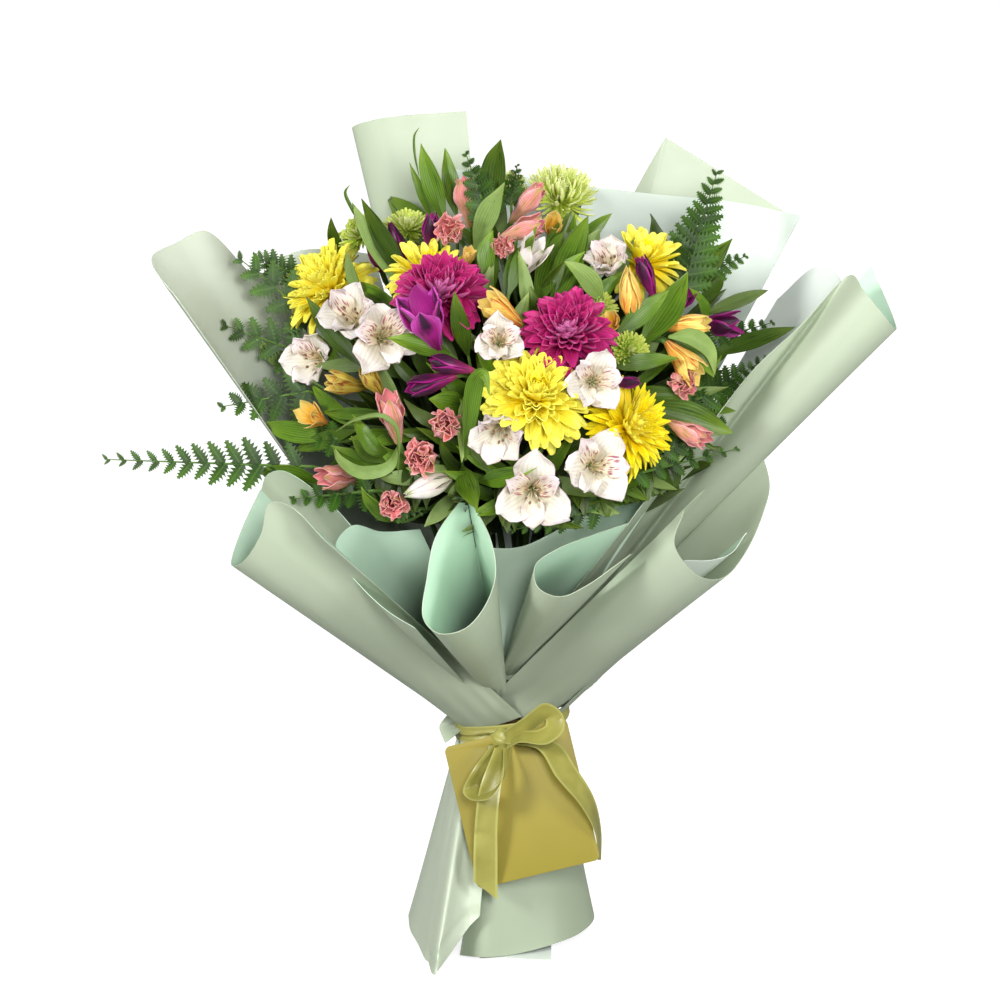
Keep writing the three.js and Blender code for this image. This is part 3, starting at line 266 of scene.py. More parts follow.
def points_of(piece):
    co = np.empty(len(piece.data.vertices) * 3, np.float32)
    piece.data.vertices.foreach_get("co", co)
    return co.reshape(-1, 3).astype(float)


def set_points(piece, co):
    piece.data.vertices.foreach_set("co", np.asarray(co, np.float32).ravel())
    piece.data.update()


def grid(name, across, along, place, swell=None):
    """Grid primitive whose points go to place(u, v); swell(u, v) then moves them along their normals."""
    alone()
    bpy.ops.mesh.primitive_grid_add(x_subdivisions=across, y_subdivisions=along, size=1)
    piece = bpy.context.object
    piece.name = name
    flat = points_of(piece) + 0.5
    u, v = flat[:, 0], flat[:, 1]
    set_points(piece, place(u, v))
    if swell:
        normal = np.empty(len(u) * 3, np.float32)
        piece.data.vertices.foreach_get("normal", normal)
        set_points(piece, points_of(piece) + normal.reshape(-1, 3) * swell(u, v)[:, None])
    return piece


def between(foot, rim, line=catmull, tuck=0):
    """Places of a sheet drawn straight from foot to rim; tuck: the share it starts below its foot."""
    def place(u, v):
        low, high = line(foot, u), line(rim, u)
        return low + (high - low) * (v * (1 + tuck) - tuck)[:, None]
    return place


def smooth_faces(degrees):
    bpy.ops.object.shade_smooth_by_angle(angle=math.radians(degrees))


def pick_out(piece):
    alone()
    piece.select_set(True)
    bpy.context.view_layer.objects.active = piece


def finish_mesh(piece, thickness, face, reverse=None):
    """Gives a sheet its thickness, with its own finish on each side."""
    piece.data.materials.append(face)
    solid = piece.modifiers.new("thickness", "SOLIDIFY")
    solid.thickness = thickness
    solid.offset = 0
    if reverse:
        piece.data.materials.append(reverse)
        solid.material_offset = 1
    bpy.context.view_layer.objects.active = piece
    bpy.ops.object.modifier_apply(modifier=solid.name)
    smooth_faces(50)
    return piece


def tint(piece, shade):
    """Writes how light this petal, leaf or leaflet is, 0 to 1."""
    layer = piece.data.attributes.get("shade") or piece.data.attributes.new("shade", "FLOAT", "POINT")
    layer.data.foreach_set("value", np.full(len(piece.data.vertices), shade, np.float32))


def placed(template, matrix, shade=0.5):
    copy = template.copy()
    copy.data = template.data.copy()
    copy.data.transform(matrix)
    tint(copy, shade)
    bpy.context.scene.collection.objects.link(copy)
    return copy


def joined(name, pieces):
    alone()
    for piece in pieces:
        piece.select_set(True)
    bpy.context.view_layer.objects.active = pieces[0]
    bpy.ops.object.join()
    pieces[0].name = name
    pieces[0].data.name = name
    return pieces[0]


def discard(*pieces):
    for piece in pieces:
        mesh = piece.data
        bpy.data.objects.remove(piece)
        bpy.data.meshes.remove(mesh)


def stalk(name, points, radii, finish, sides=1, shade=0.5):
    """Tapered round stalk through the points."""
    line = bpy.data.curves.new(name, "CURVE")
    line.dimensions = "3D"
    line.bevel_depth = 1
    line.bevel_resolution = sides
    line.use_fill_caps = True
    spline = line.splines.new("POLY")
    spline.points.add(len(points) - 1)
    for point, spot, radius in zip(spline.points, points, radii):
        point.co = (*spot, 1)
        point.radius = radius
    piece = bpy.data.objects.new(name, line)
    bpy.context.scene.collection.objects.link(piece)
    pick_out(piece)
    bpy.ops.object.convert(target="MESH")
    piece = bpy.context.object
    piece.data.materials.append(finish)
    smooth_faces(50)
    tint(piece, shade)
    return piece


def bend_line(start, end, lean, count=7):
    """Points of a stalk that leaves start along lean and reaches end."""
    middle = start + lean
    return [start * (1 - t) ** 2 + middle * 2 * t * (1 - t) + end * t * t for t in np.linspace(0, 1, count)]


def basis(across, along, face, origin):
    m = Matrix((across, along, face)).transposed().to_4x4()
    m.translation = origin
    return m


def side_of(axis):
    side = axis.cross(Vector((0, 0, 1)))
    return (side if side.length > 0.1 else Vector((1, 0, 0))).normalized()


def widths(*radii):
    return [radius * MM for radius in radii]


def hand_in(piece, slot, *nodes):
    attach(piece, "root")
    if nodes:
        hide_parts(*nodes)
    return piece


# ---- finishes ----
def rgb(red, green, blue):
    def linear(c):
        c /= 255
        return c / 12.92 if c <= 0.04045 else ((c + 0.055) / 1.055) ** 2.4
    return (linear(red), linear(green), linear(blue), 1)


def node(tree, kind, inputs=None, **settings):
    made = tree.nodes.new(kind)
    for key, value in settings.items():
        setattr(made, key, value)
    for key, value in (inputs or {}).items():
        if isinstance(value, bpy.types.NodeSocket):
            tree.links.new(value, made.inputs[key])
        else:
            made.inputs[key].default_value = value
    return made


def maths(tree, operation, a, b=0.5):
    return node(tree, "ShaderNodeMath", {0: a, 1: b}, operation=operation).outputs[0]


def times(tree, a, b):
    return maths(tree, "MULTIPLY", a, b)


def off_middle(tree, value):
    return maths(tree, "ABSOLUTE", maths(tree, "SUBTRACT", value, 0.5))


def remap(tree, value, start=0.0, end=1.0, low=0.0, high=1.0):
    return node(tree, "ShaderNodeMapRange", {0: value, 1: start, 2: end, 3: low, 4: high}).outputs[0]


def uv_of(tree):
    return node(tree, "ShaderNodeSeparateXYZ", {0: node(tree, "ShaderNodeUVMap").outputs[0]}).outputs


def shade_of(tree):
    return node(tree, "ShaderNodeAttribute", attribute_name="shade").outputs["Fac"]


def object_place(tree):
    return node(tree, "ShaderNodeTexCoord").outputs["Object"]


def noise(tree, place, scale, detail):
    return node(tree, "ShaderNodeTexNoise", {"Vector": place, "Scale": scale, "Detail": detail}).outputs[0]


def bumps(tree, height, strength, distance):
    return node(tree, "ShaderNodeBump", {"Height": height, "Strength": strength, "Distance": distance}).outputs[0]


def brightened(tree, colour, value):
    return node(tree, "ShaderNodeHueSaturation", {"Color": colour, "Value": value}).outputs[0]


def ramp(tree, value, stops):
    made = node(tree, "ShaderNodeValToRGB", {0: value})
    made.color_ramp.interpolation = "EASE"
    while len(made.color_ramp.elements) < len(stops):
        made.color_ramp.elements.new(0.5)
    for element, (place, colour) in zip(made.color_ramp.elements, stops):
        element.position = place
        element.color = colour
    return made.outputs[0]


def mix(tree, factor, a, b, blend="MIX"):
    made = node(tree, "ShaderNodeMix", {0: factor, 6: a, 7: b}, data_type="RGBA", blend_type=blend)
    return made.outputs[2]


def effect(name, build, outputs, **inputs):
    """A shared effect: a node group with named inputs and outputs."""
    group = bpy.data.node_groups.new(name, "ShaderNodeTree")
    for label, value in inputs.items():
        socket = group.interface.new_socket(label, in_out="INPUT", socket_type="NodeSocketFloat")
        socket.default_value = value
    for label in outputs:
        kind = "NodeSocketVector" if label == "Normal" else "NodeSocketFloat"
        group.interface.new_socket(label, in_out="OUTPUT", socket_type=kind)
    build(group, group.nodes.new("NodeGroupInput").outputs, group.nodes.new("NodeGroupOutput").inputs)
    return group


def build_mottle(tree, given, out):
    cloud = noise(tree, object_place(tree), given["Scale"], 3.0)
    tree.links.new(remap(tree, cloud, 0.3, 0.7, given["Low"], given["High"]), out["Value"])


def build_along(tree, given, out):
    """Lines that run from the foot of a petal or leaf to its tip, and the place across and along it."""
    place = uv_of(tree)
    wave = maths(tree, "FRACT", times(tree, place["X"], given["Lines"]))
    peak = times(tree, off_middle(tree, wave), 2.0)
    tree.links.new(maths(tree, "POWER", peak, given["Sharpness"]), out["Line"])
    tree.links.new(times(tree, off_middle(tree, place["X"]), 2.0), out["Edge"])
    tree.links.new(place["Y"], out["Along"])
    spread = node(tree, "ShaderNodeCombineXYZ", {
        "X": times(tree, place["X"], given["Lines"]), "Y": times(tree, place["Y"], 3.0),
        "Z": times(tree, shade_of(tree), 37.0)})
    tree.links.new(noise(tree, spread.outputs[0], 1.0, 2.0), out["Streak"])


def build_fibres(tree, given, out):
    fine = noise(tree, object_place(tree), given["Scale"], 4.0)
    tree.links.new(bumps(tree, fine, given["Strength"], 0.0002), out["Normal"])


def build_painted_depth_shade(tree, given, out):
    """Painted shade by depth: how far out a point lies, Dark in to the Low share of the bloom shell, 1 from the High
    share on.
    """
    middle = tuple(DOME[k] * MM for k in "xyz")
    radii = tuple(DOME[k] * MM for k in ("rx", "ry", "rz"))
    centred = node(tree, "ShaderNodeVectorMath", {0: object_place(tree), 1: middle}, operation="SUBTRACT").outputs[0]
    scaled = node(tree, "ShaderNodeVectorMath", {0: centred, 1: radii}, operation="DIVIDE").outputs[0]
    far = node(tree, "ShaderNodeVectorMath", {0: scaled}, operation="LENGTH").outputs["Value"]
    tree.links.new(remap(tree, far, given["Low"], given["High"], given["Dark"]), out["Value"])


# painted shade: colours are darkened deep in the bloom shell, where shade falls among the blooms
SHADE_BY_DEPTH = effect("shell", build_painted_depth_shade, ["Value"], Low=0.6, High=1, Dark=0.2)
MOTTLE = effect("mottle", build_mottle, ["Value"], Scale=20, Low=0, High=1)
ALONG = effect("along", build_along, ["Line", "Edge", "Along", "Streak"], Lines=8, Sharpness=3)
FIBRES = effect("fibres", build_fibres, ["Normal"], Scale=900, Strength=0.15)


def use(tree, group, **values):
    made = tree.nodes.new("ShaderNodeGroup")
    made.node_tree = group
    for key, value in values.items():
        made.inputs[key].default_value = value
    return made.outputs


def surface(name, roughness, specular, thin=0.0):
    """A material with its shader; the colour is wired by the caller."""
    made = bpy.data.materials.new(name)
    made.use_nodes = True
    shader = made.node_tree.nodes["Principled BSDF"]
    shader.inputs["Roughness"].default_value = roughness
    shader.inputs["Specular IOR Level"].default_value = specular
    shader.inputs["Subsurface Weight"].default_value = thin
    shader.inputs["Subsurface Scale"].default_value = 0.004
    shader.inputs["Subsurface Radius"].default_value = (1.0, 0.9, 0.5)
    return made, made.node_tree, shader.inputs


# painted shade deep in the bloom shell
def painted_depth_shade_of(tree, painted_shade):
    low, high, dark = painted_shade
    return use(tree, SHADE_BY_DEPTH, Low=low, High=high, Dark=dark)["Value"]


def mottled(tree, tones, scale, high=1.0):
    """Clouds of the second tone in the first."""
    first, second = (rgb(*tone) for tone in tones)
    return mix(tree, use(tree, MOTTLE, Scale=scale, Low=0.0, High=high)["Value"], first, second)


def paper_finish(name, colour, deep, inside=None, painted_shade=None):
    """Paper; inside: painted shade down in a roll and painted light at the rim; heart: shell shares where painted
    shade darkens it.
    """
    made, tree, shader = surface(name, 0.38, specular=0.5, thin=0.14)
    shader["Subsurface Radius"].default_value = (0.8, 1.0, 0.85)
    colour = mottled(tree, (colour, deep), 9.0, 0.35)
    # painted shade down in a roll towards the tie and painted light at its rim
    if inside:
        colour = brightened(tree, colour, remap(tree, uv_of(tree)["Y"], 0.45, 0.97, *inside))
    # painted shade deep in the bloom shell
    if painted_shade:
        colour = brightened(tree, colour, painted_depth_shade_of(tree, painted_shade))
    tree.links.new(colour, shader["Base Color"])
    tree.links.new(use(tree, FIBRES, Scale=1400.0, Strength=0.08)["Normal"], shader["Normal"])
    rough = remap(tree, use(tree, MOTTLE, Scale=60.0)["Value"], low=0.36, high=0.46)
    tree.links.new(rough, shader["Roughness"])
    return made


def petal_finish(name, stops, line, line_amount, lines=9.0, light=(0.82, 1.12), roughness=0.5, streak=None,
                 streak_from=0.55, edge=None, edge_from=0.7, thin=0.25, sharpness=3.0, fleck=None, blotch=None,
                 painted_shade=None):
    """Petal or leaf; stops: place from foot to tip and colour; lines, streaks, edge and flecks go over it; heart:
    shell shares where painted shade darkens it.
    """
    made, tree, shader = surface(name, roughness, specular=0.35, thin=thin)
    run = use(tree, ALONG, Lines=lines, Sharpness=sharpness)
    colour = ramp(tree, run["Along"], [(place, rgb(*tone)) for place, *tone in stops])
    if streak:
        colour = mix(tree, remap(tree, run["Streak"], streak_from, streak_from + 0.14), colour, rgb(*streak))
    if edge:
        colour = mix(tree, remap(tree, run["Edge"], edge_from), colour, rgb(*edge))
    colour = mix(tree, times(tree, run["Line"], line_amount), colour, rgb(*line))
    if fleck:
        colour = mix(tree, flecks(tree), colour, rgb(*fleck))
    if blotch:
        middle, upper = remap(tree, run["Edge"], 0.62, 0.2), remap(tree, run["Along"], 0.42, 0.66)
        colour = mix(tree, times(tree, middle, upper), colour, rgb(*blotch))
    value = remap(tree, shade_of(tree), 0.0, 1.0, *light)
    # painted shade deep in the bloom shell
    if painted_shade:
        value = times(tree, value, painted_depth_shade_of(tree, painted_shade))
    cloud = use(tree, MOTTLE, Scale=160.0, Low=0.92, High=1.06)["Value"]
    tree.links.new(brightened(tree, colour, times(tree, value, cloud)), shader["Base Color"])
    tree.links.new(bumps(tree, run["Line"], 0.25, 0.0003), shader["Normal"])
    return made


def flecks(tree):
    """Short dashes that run along the veins in the throat of a tepal."""
    place = uv_of(tree)
    spread = node(tree, "ShaderNodeCombineXYZ", {
        "X": times(tree, place["X"], 13.0), "Y": times(tree, place["Y"], 4.4),
        "Z": times(tree, shade_of(tree), 41.0)})
    cell = node(tree, "ShaderNodeTexVoronoi", {"Vector": spread.outputs[0], "Scale": 1.0, "Randomness": 0.8})
    none, full = (0, 0, 0, 1), (1, 1, 1, 1)
    band = ramp(tree, place["Y"], [(0.2, none), (0.36, full), (0.7, full), (0.9, none)])
    return times(tree, times(tree, remap(tree, cell.outputs["Distance"], 0.42, 0.28), band), 0.85)


# ---- the colours of this bouquet ----
# inside: painted shade deeper down towards the tie and painted light at the rim
SAGE = paper_finish("sage_paper", (180, 192, 167), (171, 184, 158), inside=(0.76, 1.06))
# darker and lighter copies of the sage paper: painted shade on the skirt, painted light on its turned panel
SKIRT_SAGE_PAINTED_SHADE = paper_finish("skirt_paper_painted_shade", (162, 175, 149), (153, 167, 140))
PANEL_SAGE_PAINTED_LIGHT = paper_finish("skirt_panel_paper_painted_light", (192, 204, 180), (184, 196, 171))
BACK_MINT = paper_finish("back_mint_paper", (206, 220, 207), (198, 213, 200))
# a paler copy of the sage paper as painted light, with painted shade where it lies near the blooms
SAGE_PAINTED_LIGHT_AND_SHADE = paper_finish("sage_paper_painted_light_and_shade", (208, 218, 198), (200, 210, 190), painted_shade=(1.0, 1.3, 0.42))
MINT = paper_finish("mint_paper", (182, 211, 187), (173, 203, 178), inside=(0.4, 1.22))
# the leaf cone's copy of the mint, with stronger painted shade deep in the cone and painted light at its rim
CONE_MINT_PAINTED_LIGHT_AND_SHADE = paper_finish("cone_mint_paper_painted_light_and_shade", (182, 211, 187), (173, 203, 178), inside=(0.3, 1.5))
# a lighter copy of the mint for the collar, as painted light
COLLAR_MINT_PAINTED_LIGHT = paper_finish("collar_mint_paper_painted_light", (204, 228, 207), (194, 219, 197))
PALE_MINT = paper_finish("pale_mint_paper", (232, 242, 232), (224, 237, 226))

YELLOW = petal_finish("yellow_petal", [(0, 246, 196, 6), (0.3, 254, 230, 10), (1, 255, 248, 96)], (242, 200, 4),
    0.2, lines=5.0, light=(0.9, 1.06))
GOLD = petal_finish("golden_petal", [(0, 242, 182, 4), (0.35, 254, 224, 2), (1, 255, 240, 36)], (240, 186, 0),
    0.25, lines=5.0, light=(0.9, 1.05))
MAGENTA = petal_finish("magenta_petal_face", [(0, 84, 2, 36), (0.5, 158, 16, 84), (1, 204, 44, 128)],
    (104, 6, 54), 0.35, lines=5.0, light=(0.7, 1.25))
MAUVE = petal_finish("magenta_petal_reverse", [(0, 160, 34, 100), (0.5, 204, 92, 156), (1, 222, 128, 184)],
    (170, 44, 116), 0.35, lines=5.0, light=(0.75, 1.15))
LIME = petal_finish("lime_floret", [(0, 176, 200, 60), (0.5, 216, 231, 96), (1, 240, 246, 170)], (168, 196, 60),
    0.2, lines=3.0, light=(0.85, 1.08))
GREEN_BUTTON = petal_finish("button_floret", [(0, 124, 154, 34), (0.5, 178, 206, 62), (1, 220, 232, 112)],
    (140, 170, 44), 0.2, lines=3.0)
WHITE = petal_finish("white_tepal", [(0, 196, 206, 120), (0.2, 236, 230, 200), (1, 244, 238, 230)],
    (208, 188, 164), 0.5, light=(0.8, 1.03), edge=(244, 224, 228), edge_from=0.8)
FLECKED = petal_finish("flecked_tepal", [(0, 214, 206, 96), (0.24, 240, 226, 178), (1, 244, 230, 228)],
    (222, 184, 192), 0.5, light=(0.8, 1.03), fleck=(150, 18, 82))
WHITE_BACK = petal_finish("white_tepal_reverse",
    [(0, 172, 192, 104), (0.3, 230, 224, 198), (0.84, 242, 234, 226), (1, 136, 172, 74)], (206, 178, 168), 0.45,
    light=(0.86, 1.02), edge=(246, 222, 228), streak=(176, 192, 110), streak_from=0.68)
PINK = petal_finish("pink_tepal", [(0, 232, 196, 110), (0.3, 238, 172, 156), (1, 240, 140, 146)], (214, 92, 98),
    0.4, edge=(246, 178, 182), edge_from=0.72, light=(0.78, 1.1))
PINK_BACK = petal_finish("pink_tepal_reverse",
    [(0, 176, 150, 72), (0.3, 226, 164, 132), (0.85, 238, 146, 144), (1, 150, 150, 60)], (196, 92, 86), 0.5,
    edge=(246, 186, 186), edge_from=0.55, streak=(164, 152, 62), streak_from=0.54, light=(0.78, 1.1))
CORAL = petal_finish("frilled_tepal", [(0, 150, 100, 50), (0.35, 222, 120, 108), (1, 245, 156, 156)],
    (190, 76, 78), 0.4, lines=7.0, edge=(248, 190, 190), edge_from=0.8, streak=(176, 160, 76), streak_from=0.62,
    light=(0.8, 1.08))
AMBER = petal_finish("amber_tepal", [(0, 206, 116, 16), (0.4, 248, 190, 52), (1, 255, 232, 128)], (208, 104, 32),
    0.45, edge=(255, 236, 150), edge_from=0.75, light=(0.84, 1.06))
AMBER_BACK = petal_finish("amber_tepal_reverse",
    [(0, 186, 100, 36), (0.35, 242, 174, 72), (0.9, 252, 222, 116), (1, 172, 152, 50)], (208, 100, 44), 0.5,
    edge=(255, 228, 112), edge_from=0.62, streak=(206, 88, 46), streak_from=0.52, light=(0.84, 1.06))
BRONZE = petal_finish("bronze_tepal", [(0, 150, 136, 36), (0.5, 204, 172, 60), (1, 214, 192, 88)], (150, 96, 40),
    0.4, streak=(140, 56, 36), streak_from=0.5, edge=(212, 194, 92), edge_from=0.66)
PURPLE = petal_finish("purple_tepal", [(0, 130, 30, 90), (0.5, 176, 36, 140), (1, 150, 30, 120)], (104, 12, 74),
    0.4, light=(0.75, 1.15))
PLUM = petal_finish("plum_tepal_reverse",
    [(0, 176, 64, 104), (0.3, 120, 28, 84), (0.7, 64, 22, 54), (1, 46, 16, 40)], (40, 10, 34), 0.4,
    light=(0.8, 1.2), roughness=0.34, edge=(182, 36, 140), edge_from=0.66)
VIOLET = petal_finish("violet_tepal", [(0, 120, 18, 80), (0.5, 192, 44, 152), (1, 214, 78, 188)], (128, 18, 104),
    0.35, light=(0.85, 1.15), roughness=0.36, streak=(90, 24, 76), streak_from=0.6, edge=(220, 92, 198),
    edge_from=0.6, blotch=(62, 34, 62))
# leaves, fern leaflets and stems are darkened deep in the bloom shell as painted shade
LEAF_FACE = petal_finish("leaf_face", [(0, 62, 92, 12), (0.5, 76, 112, 16), (1, 122, 154, 40)], (124, 154, 56),
    0.5, light=(0.24, 1.2), roughness=0.38, thin=0.05, streak=(46, 76, 10), streak_from=0.56,
    painted_shade=(0.68, 0.98, 0.14))
LEAF_BACK = petal_finish("leaf_reverse", [(0, 118, 144, 70), (0.5, 134, 160, 88), (1, 154, 176, 98)],
    (84, 116, 44), 0.6, light=(0.4, 1.1), thin=0.05, painted_shade=(0.68, 0.98, 0.14))
FERN = petal_finish("fern_leaflet", [(0, 34, 64, 12), (1, 62, 100, 24)], (104, 138, 56), 0.45, lines=2.0,
    light=(0.5, 1.3), thin=0.06, sharpness=6.0, painted_shade=(0.7, 1.0, 0.25))
STEM_GREEN = petal_finish("stem_skin", [(0, 96, 134, 58), (1, 112, 150, 70)], (96, 130, 60), 0.0,
    light=(0.6, 1.15), roughness=0.45, thin=0.05, painted_shade=(0.66, 1.0, 0.16))
ANTHER = petal_finish("anther", [(0, 106, 84, 64), (1, 138, 108, 80)], (90, 70, 50), 0.0, thin=0.0)
FILAMENT = petal_finish("filament", [(0, 232, 220, 170), (1, 246, 238, 214)], (240, 230, 200), 0.0)


def cloth_finish():
    """Satin ribbon: fine cross ribs, corded edges and a bright, streaky shine."""
    made, tree, shader = surface("ribbon_satin_weave", 0.26, specular=0.6)
    shader["Anisotropic"].default_value = 0.6
    across = off_middle(tree, uv_of(tree)["Y"])
    hem = remap(tree, across, 0.38, 0.43)
    tone = mottled(tree, ((164, 160, 82), (124, 120, 48)), 45.0, 0.6)
    tree.links.new(mix(tree, times(tree, hem, 0.6), tone, rgb(180, 178, 104)), shader["Base Color"])
    weft = node(tree, "ShaderNodeTexWave", {"Vector": object_place(tree), "Scale": 900.0, "Distortion": 0.4})
    height = mix(tree, hem, weft.outputs[0], times(tree, across, 3.0))
    tree.links.new(bumps(tree, height, 0.3, 0.0003), shader["Normal"])
    return made


def fibrous(name, roughness, specular, tones, scale, high, fibres, strength):
    """Card or twine: mottled, with a fibrous tooth."""
    made, tree, shader = surface(name, roughness, specular=specular)
    tree.links.new(mottled(tree, tones, scale, high), shader["Base Color"])
    tree.links.new(use(tree, FIBRES, Scale=fibres, Strength=strength)["Normal"], shader["Normal"])
    return made


SATIN = cloth_finish()
CARD = fibrous("olive_gold_card", 0.48, 0.35, ((150, 137, 50), (134, 122, 40)), 14.0, 0.5, 2200.0, 0.12)
TWINE = fibrous("jute_twine", 0.85, 0.2, ((194, 164, 112), (150, 120, 76)), 500.0, 1.0, 1800.0, 0.6)


# ---- wrapping sheets ----
def gather(folds, seed, depth=1.3, reach=0.2, creases=5):
    """Folds that run up from the tie and fade out, sharp creases above them and a faint wave in the free part."""
    r = random.Random(seed)
    shifts = [r.uniform(0, 6.28) for _ in range(4)]
    marks = [(r.uniform(0.1, 0.9), r.uniform(0.03, 0.3), r.uniform(0.6, 1.5) * r.choice((-1, 1)),
              r.uniform(0.05, 0.16), r.uniform(-1.1, 1.1)) for _ in range(creases)]

    def swell(u, v):
        pleat = np.sin(2 * np.pi * folds * u + 1.4 * np.sin(5 * u + shifts[0]) + shifts[1])
        fine = 0.4 * np.sin(2 * np.pi * folds * 2.3 * u + shifts[2])
        near = np.exp(-(v / reach) ** 1.3) * (1 - np.exp(-v / 0.02))
        wave = 0.6 * np.sin(2 * np.pi * (1.3 * u + 0.6 * v) + shifts[3]) * v
        height = depth * (pleat + fine) * near + wave
        for u0, v0, slope, run, high in marks:
            off = (u - u0) - slope * (v - v0)
            height += high * np.maximum(0, 1 - np.abs(off) / 0.045) * np.exp(-((v - v0) / run) ** 2)
        return height * MM
    return swell


TUCKED = ("paper_left_rear_sheet", "paper_back_left_sheet", "paper_back_right_sheet", "paper_back_corner",
          "paper_right_inner_sheet")
TUCK = 0.06                                # share of these sheets that goes down inside the skirt


# sheets: name, paper, finishes; foot by degrees, radius and lift round the waist; rim by across, up, back
SHEETS = [
    ("paper_left_roll", "sage", SAGE, MINT,
     [(172, 32.6, 8), (190, 34.4, 4), (208, 35.4, 3), (235, 35.6, 4), (262, 35.6, 7), (280, 35.6, 9)],
     [(-172, 297, -62), (-184, 270, -82), (-190, 248, -100), (-181, 251, -116), (-170, 268, -124),
     (-164, 288, -126), (-150, 285, -128), (-128, 264, -132)]),
    ("paper_lower_right_roll", "sage", SAGE, SAGE,
     [(8, 32, 14), (-12, 33, 8), (-38, 33.6, 3), (-62, 33.6, 2), (-84, 33, 9), (-112, 33, 26)],
     [(158, 326, -56), (165, 300, -60), (161, 281, -66), (151, 258, -80), (136, 240, -98), (121, 239, -114),
     (108, 249, -124), (101, 263, -128), (107, 283, -124)]),
    ("paper_low_right_sheet", "sage", SAGE, SAGE,
     [(-46, 35.7, 0), (-22, 35.7, 2), (2, 35.4, 6), (24, 34.6, 10)],
     [(99, 221, -92), (108, 220, -66), (112, 232, -30), (116, 250, 0)]),
    ("paper_front_leaf_cone", "sage", SAGE, CONE_MINT_PAINTED_LIGHT_AND_SHADE,
     [(252, 28, 30), (243, 30, 27), (246, 32.5, 24), (256, 33, 24), (264, 31, 27), (252, 28, 30)],
     [(-35.5, 294, -117), (-55, 266, -124), (-61, 240, -131), (-64, 212, -140), (-54, 202, -146),
     (-37, 205, -150), (-25, 218, -148), (-17, 240, -142), (-20, 264, -133), (-35, 294, -118)]),
    ("paper_right_roll", "sage", SAGE, MINT,
     [(-104, 30.5, 37), (-92, 31.8, 34), (-80, 32.4, 31), (-68, 32.4, 29), (-58, 32.2, 29), (-50, 31.4, 31),
     (-46, 30, 35)],
     [(71, 273, -100), (85, 292, -94), (101, 308, -88), (117, 328, -82), (134, 352, -75), (154, 377, -69),
     (184, 405, -64), (217, 438, -58), (225, 428, -80), (237, 413, -88), (247, 402, -76), (247, 408, -56),
     (239, 428, -42), (231, 444, -38)]),
    ("paper_front_right_cone", "mint", SAGE, MINT,
     [(-86, 26, 44), (-104, 27, 42), (-106, 29.5, 38), (-92, 30, 37), (-78, 28.5, 41)],
     [(71, 275, -104), (46, 267, -108), (24, 258, -114), (10, 247, -124), (12, 233, -134), (26, 227, -138),
     (44, 234, -136), (62, 246, -130), (73, 254, -122)]),
    ("paper_front_left_pocket", "sage", MINT, SAGE,
     [(234, 31, 18), (222, 31, 17), (206, 30.5, 16), (214, 26, 21), (232, 22, 30)],
     [(-69, 206, -118), (-88, 217, -108), (-106, 233, -98), (-119, 250, -90), (-121, 262, -84), (-110, 273, -80),
     (-92, 269, -76), (-66, 271, -80)]),
    ("paper_front_collar", "sage", COLLAR_MINT_PAINTED_LIGHT, SAGE,
     [(232, 21, 44), (258, 21.5, 46), (288, 22, 46), (322, 24, 34)],
     [(-30, 258, -92), (0, 259, -95), (36, 277, -92), (62, 288, -86), (92, 296, -72)]),
    ("paper_left_sheet", "sage", SAGE_PAINTED_LIGHT_AND_SHADE, SAGE,
     [(196, 31, 12), (186, 32.5, 10), (170, 32, 12), (150, 30, 16), (136, 28, 20)],
     [(-228, 424, -34), (-241, 441, -24), (-243, 452, -8), (-228, 461, 12), (-210, 469, 28), (-188, 449, 44),
     (-172, 429, 54), (-158, 408, 60)]),
    ("paper_left_rear_sheet", "sage", SAGE_PAINTED_LIGHT_AND_SHADE, SAGE,
     [(150, 33, 14), (128, 32, 18), (112, 30, 22)],
     [(-171, 447, 71), (-148, 457, 80), (-126, 458, 88), (-98, 455, 96)]),
    ("paper_back_left_sheet", "sage", SAGE, SAGE,
     [(138, 35, 14), (122, 34.5, 18), (104, 33, 22), (84, 31.5, 26)],
     [(-104, 533, 132), (-112, 540, 118), (-97, 545, 106), (-73, 548, 104), (-36, 550.5, 106)]),
    ("paper_back_right_sheet", "mint", BACK_MINT, SAGE,
     [(98, 29.5, 26), (76, 30.5, 24), (48, 31, 20), (22, 31, 18)],
     [(-48, 512, 98), (-13, 509, 98), (40, 501, 97), (90, 495, 92), (140, 490, 84), (188, 480, 66)]),
    ("paper_back_corner", "sage", SAGE, SAGE,
     [(76, 34, 24), (62, 34.5, 22), (48, 35, 20)],
     [(66, 478, 108), (98, 533, 108), (176, 484, 92)]),
    ("paper_right_inner_sheet", "mint", PALE_MINT, SAGE,
     [(30, 33.5, 18), (14, 33, 18), (-6, 32, 22)],
     [(172, 424, 48), (196, 445, 36), (213, 437, 14), (205, 420, -14)]),
]
